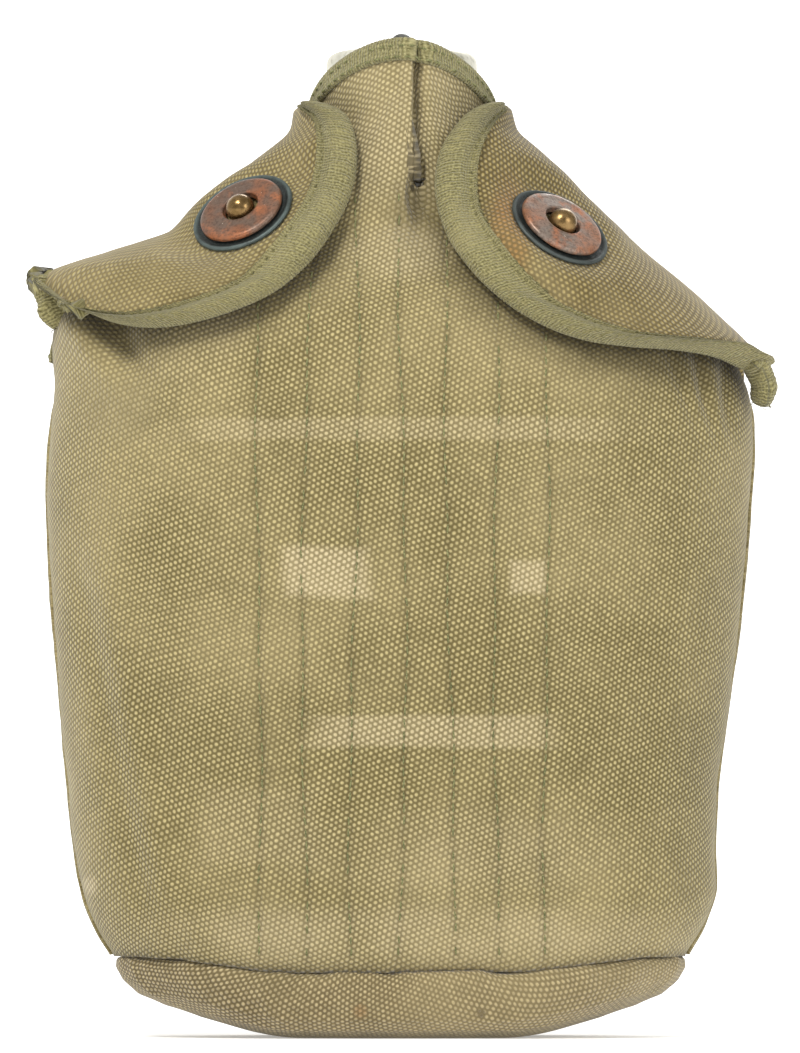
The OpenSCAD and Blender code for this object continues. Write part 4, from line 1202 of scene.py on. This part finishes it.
def flap_tape(side, word):
    count = fine(1150)
    s = np.linspace(0, 1, count)
    edge = flap_surface(side, s, np.ones(count))
    inner = flap_surface(side, s, np.full(count, 0.97))
    reach = np.linalg.norm(edge - flap_surface(side, s, np.full(count, 0.9)), axis=1) / 0.1
    curve = section_curve(FLAP_SECTION, 44)
    rings = []
    outward = unit(edge - inner)
    n_edge = flap_normal(side, s, np.full(count, 0.985))
    wide = 1 - 0.12 * bump(s, 0.45, 0.2) + 0.03 * noise(s * 14, s * 0, 61)
    for w, h in curve:
        w = w * wide if w > 1 else np.full(count, w)
        t = 1 - np.clip(w, 0, None) / reach
        q = flap_surface(side, s, t)
        m = flap_normal(side, s, np.minimum(t, 0.985))
        swell = (1 + 0.14 * noise(s * 26, w / 9, 63 + side)) * (1 + 0.8 * smooth((s - 0.82) / 0.14))
        out = h * swell if h > 0.3 else h + 0 * s
        rings.append(q + m * out[..., None] + outward * np.clip(-w, 0, None)[..., None])
    rings = np.stack(rings, 1)
    weight = 0.25 + 0.75 * smooth((3.4 - curve[:, 0]) / 2.4)
    taper = np.minimum(np.arange(count), count - 1 - np.arange(count)) / (5 * count / 120)
    pinch = 0.55 + 0.45 * np.sqrt(np.clip(taper * 2.5, 0, 1))
    middle = rings.mean(1, keepdims=True)
    rings = middle + (rings - middle) * pinch[:, None, None]
    obj = tape_mesh(f"flap_{word}_tape", ribbed(rings, 1.0, 0.17, weight))
    finish_piece(obj, "flap_tape", None, [f"flap_{word}_binding"])
    blend_flap(obj)
    parts = []
    for w, h, seed in ((6.75, 0.62, 71), (8.1, 0.8, 72)):
        t = 1 - w * wide / reach
        q = flap_surface(side, s, t) + n_edge * h
        m = flap_normal(side, s, t)
        parts += stitch_parts(q[20:-20], m[20:-20], 2.2, 1.6, 0.27, 0.15, 0.5, seed=seed + side)
    blend_flap(finish_parts(f"flap_{word}_stitches", parts, "dark_thread"))


flaps = {}
for word, side in SIDES.items():
    flaps[word] = make_flap(side, word)
    flap_tape(side, word)

# ---- snaps: flange, disc and clinch on each flap; ball studs on the front ----


def polar(name, n, origin, rows, cols=96, rim=None, rough=0.0, seed=0):
    """A closed ring of metal. Each row is a radius, a height and a sideways shift."""
    z = unit(n)
    x, y = across(z)
    a = circle(cols)
    rings = []
    for radius, height, shift in rows:
        wobble = 1 + rough * noise(np.cos(a) * 2 + seed, np.sin(a) * 2 + radius, seed)
        r = radius * wobble
        px, py = np.cos(a) * r + shift[0], np.sin(a) * r + shift[1]
        dent = rough * 6 * noise(px / 3.1 + seed, py / 3.1, seed + 1) * (height > 0.2)
        h = height + dent
        rings.append(origin + px[:, None] * x + py[:, None] * y + h[:, None] * z)
    rings = np.array(rings)
    verts, faces = tube_rings(rings, closed_along=True)
    obj = make_mesh(name, verts, faces)
    if rim is not None:
        store(obj, "Rim", np.repeat([rim(r[0]) for r in rows], cols))
    return obj


def smooth_rows(rows, n=4):
    """More rows along a closed section, rounded, with no sideways shift."""
    return [(r, h, (0.0, 0.0)) for r, h in section_curve(rows, n * len(rows))]


DISC_HOLE_R = 4.15
DISC_OUTER_R = 9.5
FLANGE_SECTION = [(5.1, 0.1), (7.5, 0.06), (10.6, 0.05), (11.5, 0.25), (11.65, 0.75), (11.2, 1.15),
                  (10.7, 0.95), (10.1, 0.62), (9.2, 0.62), (7.0, 0.9), (5.1, 0.9)]
DISC_SECTION = [(DISC_HOLE_R, 1.1), (9.0, 1.08), (DISC_OUTER_R, 1.35), (9.45, 1.95), (9.0, 2.3), (8.3, 2.42),
                (7.0, 2.44), (5.6, 2.5), (4.6, 2.55), (4.2, 2.42), (4.12, 1.8)]
CLINCH_SECTION = [(5.7, -1.95), (8.1, -1.95), (8.2, -1.6), (8.0, -1.38), (5.8, -1.38)]
for word, side in SIDES.items():
    centre, n = SNAP[side]
    flange = polar(f"flap_{word}_flange_metal", n, centre, smooth_rows(FLANGE_SECTION), 128,
                   lambda r: float(smooth(np.array((r - 10.3) / 0.8))), 0.006, 3 + side)
    finish_piece(flange, f"flange_{word}", f"flap_{word}", [f"flap_{word}_flange"])
    disc_rows = []
    for r, h in section_curve(DISC_SECTION, 44):
        share = 1 - (r - DISC_HOLE_R) / (DISC_OUTER_R - DISC_HOLE_R)
        disc_rows.append((r, h, (0.0, -1.0 * 0.35 * max(share, 0))))
    disc = polar(f"flap_{word}_disc_metal", n, centre, disc_rows, 128, None, 0.008, 9 + side)
    finish_piece(disc, f"disc_{word}", f"flap_{word}", [f"flap_{word}_disc"])
    washer = polar(f"flap_{word}_clinch_metal", n, centre, smooth_rows(CLINCH_SECTION, 3), 72)
    finish_piece(washer, "washer", f"flap_{word}", [f"flap_{word}_clinch"])

STUD_SECTION = [(0.05, -2.2), (1.5, -2.2), (1.5, 0.05), (4.5, 0.05), (4.6, 0.5), (4.3, 0.85), (2.6, 1.0),
                (2.1, 1.4)]
stud_parts = []
for centre, n in SNAP.values():
    base = -CANVAS - FLAP_LIFT
    curve = [(r, base + h) for r, h in STUD_SECTION] + [(2.1, BALL_H - 2.5)]
    sphere = [(BALL_R * math.cos(u), BALL_H + BALL_R * math.sin(u)) for u in np.linspace(-0.8, 1.5, 26)]
    x, y = across(n)
    a = circle(56)
    round_it = np.cos(a)[:, None] * x + np.sin(a)[:, None] * y
    stud_parts.append(tube_rings(np.array([centre + n * h + r * round_it for r, h in curve + sphere])))
finish_parts("ball_studs", stud_parts, "ball", "canteen", ["snap_studs"])

# ---- bottle ----

BOTTLE = [(5.4, 38, 17, 16), (6, 47, 21.5, 20), (9, 54, 26, 24), (14, 57.4, 28.2, 25.8), (24, 62, 31.6, 29),
          (40, 64, 34.4, 31.4), (58, 65.2, 35.3, 32), (78, 67.4, 35.5, 32), (98, 69.5, 35.5, 32),
          (140, 69.5, 35.5, 32), (147, 67.5, 34.2, 31.4), (154, 60.5, 32, 29.4), (162, 50.5, 28.4, 26.4),
          (172, 39, 23.6, 22.4), (182, 29, 19.2, 18.8), (190, 21, 16.8, 16.6), (195, 16.4, 15.2, 15.2),
          (197, 14.1, 14.1, 14.1)]
WELD_Z = 98


def bottle_rings(z_rows, inset, cols=200):
    table = np.array(BOTTLE)
    a = np.linspace(0, 360, cols, endpoint=False)
    rows = []
    for z in z_rows:
        w, front_d, back_d = (np.interp(z, table[:, 0], table[:, k]) - inset for k in (1, 2, 3))
        rows.append(outline(a, z, w, w, front_d, back_d, BOTTLE_FRONT_ROUND, BOTTLE_BACK_ROUND))
    return boat(np.array(rows))


def bottle_part(name, z_rows, node, closed_bottom=False):
    outer = bottle_rings(z_rows, 0)
    inner = bottle_rings(z_rows, 0.95)
    if closed_bottom:
        floor = np.array([outer[0] * (k, k, 1) for k in (0.02, 0.35, 0.7, 0.9)])
        inner_floor = np.array([inner[0] * (k, k, 1) for k in (0.02, 0.35, 0.7, 0.9)])
        outer = np.concatenate([floor, outer])
        inner = np.concatenate([inner_floor, inner]) + (0, 0, 0.9)
    obj = shell(name, outer, inner, wrap=True)
    finish_piece(obj, "bottle", "canteen", [node])


bottle_part("bottle_lower", np.linspace(5.4, WELD_Z - 0.1, 70), "bottle_lower_shell", True)
bottle_part("bottle_upper", np.linspace(WELD_Z + 0.1, 196.8, 90), "bottle_upper_shell")
bead = []
for k in circle(12):
    z = WELD_Z + 1.5 * math.sin(k)
    bead.append(bottle_rings([z], -0.4 - 0.32 * math.cos(k))[0])
v, f = tube_rings(np.swapaxes(np.array(bead), 0, 1)[:, ::-1], closed_along=True)
finish_piece(make_mesh("bottle_bead", v, f), "weld", "canteen", ["bottle_weld"])

# ---- chain: one mesh per link ----

CHAIN = [(18.83, 201.5, 0), (18.83, 205.41, 0), (18.83, 209.34, 0), (18.83, 212.89, 1),
         (17.36, 216.76, 40.5), (13.81, 218.81, 79.6), (10.17, 218.91, 90), (6.54, 218.91, 90)]
LINK_L = 6.8
LINK_W = 3.4
LINK_WIRE = 0.45
FREE_LINKS = 5


def link_mesh(name, y, z, lean, turn):
    mid, straight = LINK_W / 2 - LINK_WIRE, (LINK_L - LINK_W) / 2
    a = np.linspace(0, math.pi, 13)
    right = np.stack([mid * np.cos(a), 0 * a, straight + mid * np.sin(a)], 1)
    left = np.stack([-mid * np.cos(a), 0 * a, -straight - mid * np.sin(a)], 1)
    path = np.vstack([right, left])
    t = unit(np.roll(path, -1, 0) - np.roll(path, 1, 0))
    side = np.array([0.0, 1.0, 0.0])
    out = unit(np.cross(side, t))
    ring = round_rings(path, LINK_WIRE, out, side[None], 12)
    rt, rl = math.radians(turn), math.radians(lean)
    spin = np.array([[math.cos(rt), -math.sin(rt), 0], [math.sin(rt), math.cos(rt), 0], [0, 0, 1]])
    tip = np.array([[1, 0, 0], [0, math.cos(rl), -math.sin(rl)], [0, math.sin(rl), math.cos(rl)]])
    ring = ring @ spin.T @ tip.T + (0, y, z)
    v, f = tube_rings(ring[:, ::-1], closed_along=True)
    return make_mesh(name, v, f)


for k, (y, z, lean) in enumerate(CHAIN):
    link = link_mesh(f"chain_link_{k}", y, z, lean, 45 if k % 2 == 0 else -45)
    finish_piece(link, "chain", None, ["cap_chain"])
    share = min((k + 1) / FREE_LINKS, 1.0)
    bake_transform(link)

# ---- hook tab: one strip folded round the hook's bar ----

TAB_T = 1.4
TAB_HALF_T = 0.66
loop_r = WIRE_R + 0.35 + TAB_T / 2
arc_angles = np.radians(np.linspace(180, 0, 9))
tab_path = [(TAB_Y + 0.7, z) for z in (TAB_LOW, 120, 132, 142)]
tab_path += [(BAR_Y + loop_r * math.cos(q), BAR_Z + loop_r * math.sin(q)) for q in arc_angles]
tab_path += [(BAR_Y + 2.3, BAR_Z - 2.3), (BAR_Y + 0.6, BAR_Z - 4), (TAB_Y + 2.4, BAR_Z - 6.4)]
tab_path += [(TAB_Y + 2.1, z) for z in (136, 128, 118, TAB_LOW)]
tab_line = spline(tab_path, fine(240))
tab_t = unit(np.gradient(tab_line, axis=0))
tab_n = np.stack([-tab_t[:, 1], tab_t[:, 0]], 1)
tab_x = np.linspace(-TAB_W / 2, TAB_W / 2, fine(110))
tab_length = lengths_along(tab_line)
edge_in = 0.35 * noise(tab_length[:, None] / 7, tab_length[:, None] * 0, 81)
span = tab_x[None, :] + edge_in * np.sign(tab_x)[None, :]
ripple = 0.12 * noise(span / 4, tab_length[:, None] / 4, 82)


def tab_grid(offset):
    y = tab_line[:, 0:1] + tab_n[:, 0:1] * (offset + ripple)
    z = tab_line[:, 1:2] + tab_n[:, 1:2] * (offset + ripple)
    return np.stack([span, y, z], -1)


tab_uv = np.stack([span, tab_length[:, None] + 0 * span], -1)
tab_obj = shell("hook_tab_cloth", tab_grid(TAB_HALF_T), tab_grid(-TAB_HALF_T), tab_uv)
finish_piece(tab_obj, "hook_canvas", "canteen", ["hook_tab"])
parts = []
out_y = TAB_Y + 2.1 + TAB_HALF_T + 0.1
for a, b in (((-19.5, 111), (19.5, 111)), ((-19.5, 138), (19.5, 138)), ((-19.5, 111), (-19.5, 138)),
             ((19.5, 111), (19.5, 138)), ((-19.5, 111), (19.5, 138)), ((19.5, 111), (-19.5, 138))):
    t = np.linspace(0, 1, 80)
    path = np.stack([mix(a[0], b[0], t), 0 * t + out_y, mix(a[1], b[1], t)], 1)
    up = np.tile([0.0, 1.0, 0.0], (80, 1))
    parts += stitch_parts(path, up, 3.0, 2.2, 0.26, seed=int(a[0] + b[1]))
finish_parts("hook_tab_stitches", parts, "thread", "canteen")

# ---- frayed ends at the flaps' outer corners ----


def frays(name, side, starts, count, seed):
    parts = []
    for k in range(count):
        start = np.array(starts[k % len(starts)])
        length = 1.2 + 1.8 * hashed(k, 1, seed)
        t = np.linspace(0, 1, 9)[:, None]
        drift = np.array([side * (hashed(k, 2, seed) - 0.25) * 1.6, (hashed(k, 3, seed) - 0.5) * 2, -1.0])
        curl = np.array([side * 1.6 * (hashed(k, 4, seed) - 0.5), 0, 0.4])
        path = start + unit(drift) * length * t + curl * t * t * 2
        path = path + (hashed(k, 5, seed) - 0.5) * np.array([1.2, 1.5, 0.8])
        across = unit(np.cross(np.gradient(path, axis=0), (0.3, 1, 0.2)))
        over = unit(np.cross(across, np.gradient(path, axis=0)))
        r = (0.1 * (1 - 0.4 * t))[:, :, None]
        parts.append(tube_rings(round_rings(path, r, across, over, 6)))
    blend_flap(finish_parts(name, parts, "dark_thread"))


def hanging_end(side, word, path, flat_way, seed):
    """The loose end of a flap's tape, curled up and hanging at the flap's outer corner."""
    count = fine(70) + 24
    t = np.linspace(0, 1, len(path))
    line = resample(np.linspace(0, 1, count), t, np.array(path))
    line = averaged(np.vstack([line[:1]] * 4 + [line] + [line[-1:]] * 4), 9)[4:-4]
    along = unit(np.gradient(line, axis=0))
    wide = unit(np.cross(along, flat_way))
    thin = np.cross(wide, along)
    a = circle(40)
    s = np.linspace(0, 1, count)[:, None]
    closing = np.sqrt(np.clip(1 - s ** 10, 0, 1)) * (0.6 + 0.4 * smooth(s / 0.2))
    crease = 1 - 0.42 * bump(a[None, :], 2.2 + s, 0.35)
    crumple = crease * (1 + 0.16 * noise(np.cos(a)[None, :] * 1.6 + s * 5, np.sin(a)[None, :] * 1.6, seed))
    rings = (line[:, None] + wide[:, None] * (4.6 * np.cos(a)[None, :] * closing * crumple)[..., None]
             + thin[:, None] * (2.7 * np.sin(a)[None, :] * closing * crumple)[..., None])
    obj = tape_mesh(f"flap_{word}_tape_end", ribbed(rings, 1.0, 0.14, np.ones(40)))
    finish_piece(obj, "flap_tape")
    blend_flap(obj)
    frays(f"flap_{word}_fray", side, rings[-6, ::5], 8, seed)


corner = {side: flap_surface(side, np.array([1.0]), np.array([0.99]))[0] for side in (-1, 1)}
LEFT_END = [corner[-1] + q for q in ((3, -1.5, 0.5), (2.4, -2.5, -2), (3.6, -2.5, -6), (5.6, -2.5, -10.5))]
RIGHT_END = [corner[1] + q for q in ((-3, -2.5, 3), (-0.5, -1, 1), (1.4, 0, -3.5), (0.6, 1, -8))]
hanging_end(-1, "left", LEFT_END, (0.0, 1.0, 0.0), 5)
hanging_end(1, "right", RIGHT_END, (1.0, 0.3, 0.0), 6)

# ---- CAD nodes that keep their shape ----

KEPT = {"neck_sleeve": "bottle", "neck_thread": "bottle", "neck_band": "band", "cap_shell": "cap",
        "cap_thread": "cap", "cap_gasket": "gasket", "cap_pin": "pin", "stud_washers": "washer",
        "belt_hook": "hook"}
for node, look in KEPT.items():
    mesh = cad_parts[node].data
    for k in range(len(mesh.materials)):
        mesh.materials[k] = looks[look]

# ---- what each sheet was cut to ----


def declare(grid, width, length):
    width, length = float(width) * MM, float(length) * MM
    a, b = grid[1:, 1:] - grid[:-1, :-1], grid[1:, :-1] - grid[:-1, 1:]
    area = float(np.linalg.norm(np.cross(a, b), axis=2).sum() / 2) * MM * MM
    area = min(max(area, 0.3 * width * length), width * length)


def declare_sheet(grid):
    width, length = (np.linalg.norm(np.diff(grid, axis=k), axis=2).sum(k).max() for k in (1, 0))
    declare(grid, width, length)


def declare_round(grid):
    """A sheet made of rings: cut as an oval."""
    spokes = np.linalg.norm(np.diff(grid, axis=0), axis=2).sum(0) + np.linalg.norm(grid[0], axis=-1)
    width, length = (2 * spokes[np.argmax(grid[-1, :, k])] for k in (0, 1))
    declare(np.concatenate([grid, grid[:, :1]], 1), width, length)


declare_sheet(front)
declare_sheet(back)
declare_sheet(tab_grid(0))
for word, (sheet, grid) in flaps.items():
    declare_sheet(grid)
for felt, grid in felts:
    declare_sheet(grid)
declare_round(bottom)
declare_round(rings)

# ---- camera, light and floor ----

ELEVATION = math.radians(-3)
DISTANCE = 1.6
LOOK_AT = Vector((-0.0004, 0, 0.112))
VIEW_HEIGHT = 0.2317

camera_data = bpy.data.cameras.new("Camera")
camera_data.lens = camera_data.sensor_width * DISTANCE / VIEW_HEIGHT
camera_data.clip_end = 30
camera = bpy.data.objects.new("Camera", camera_data)
bpy.context.scene.collection.objects.link(camera)
camera.location = LOOK_AT + Vector((0, -math.cos(ELEVATION), math.sin(ELEVATION))) * DISTANCE
camera.rotation_euler = (LOOK_AT - camera.location).to_track_quat("-Z", "Y").to_euler()
bpy.context.scene.camera = camera


def area_light(name, place, size, power, tint=(1, 1, 1)):
    data = bpy.data.lights.new(name, "AREA")
    data.shape = "DISK"
    data.size = size
    data.energy = power
    data.color = tint
    light = bpy.data.objects.new(name, data)
    bpy.context.scene.collection.objects.link(light)
    light.location = place
    light.rotation_euler = (LOOK_AT - Vector(place)).to_track_quat("-Z", "Y").to_euler()


area_light("key", (-0.5, -0.95, 1.2), 0.45, 15.5, (1, 0.985, 0.95))
area_light("fill", (1.1, -1.2, 0.6), 0.9, 8.3, (0.98, 0.985, 1))
area_light("rim", (0.3, 1.1, 1.2), 0.7, 5)

world = bpy.data.worlds.new("Studio")
world.use_nodes = True
world.node_tree.nodes["Background"].inputs[0].default_value = (1, 1, 1, 1)
world.node_tree.nodes["Background"].inputs[1].default_value = 0.55
bpy.context.scene.world = world
bpy.context.scene.view_settings.view_transform = "Standard"

profile = [(-5000, 0), (3600, 0)]
profile += [(3600 + 900 * math.sin(q), 900 - 900 * math.cos(q)) for q in np.radians(np.linspace(6, 90, 15))]
profile += [(4500, 5000)]
rows = np.array([[(x, y, z) for x in (-6000, 6000)] for y, z in profile])
index = np.arange(len(profile) * 2).reshape(-1, 2)
faces = [[index[k, 0], index[k, 1], index[k + 1, 1], index[k + 1, 0]] for k in range(len(profile) - 1)]
floor = make_mesh("floor", rows.reshape(-1, 3), [[int(q) for q in f] for f in faces])
paper = Look("Paper", 0.9, bump=0.05)
grain = paper.noise(paper.place(), 400.0, 2.0)
paper.shader.inputs["Emission Color"].default_value = (1, 1, 1, 1)
_, far, _ = paper.split(paper.place())
glow = paper.ramp(far, 0.6, 3.0, 0.3, 0.85)
paper.link(glow, paper.shader.inputs["Emission Strength"])
floor.data.materials.append(paper.done(paper.mix(grain, (0.9, 0.9, 0.9), (0.93, 0.93, 0.93)), grain))
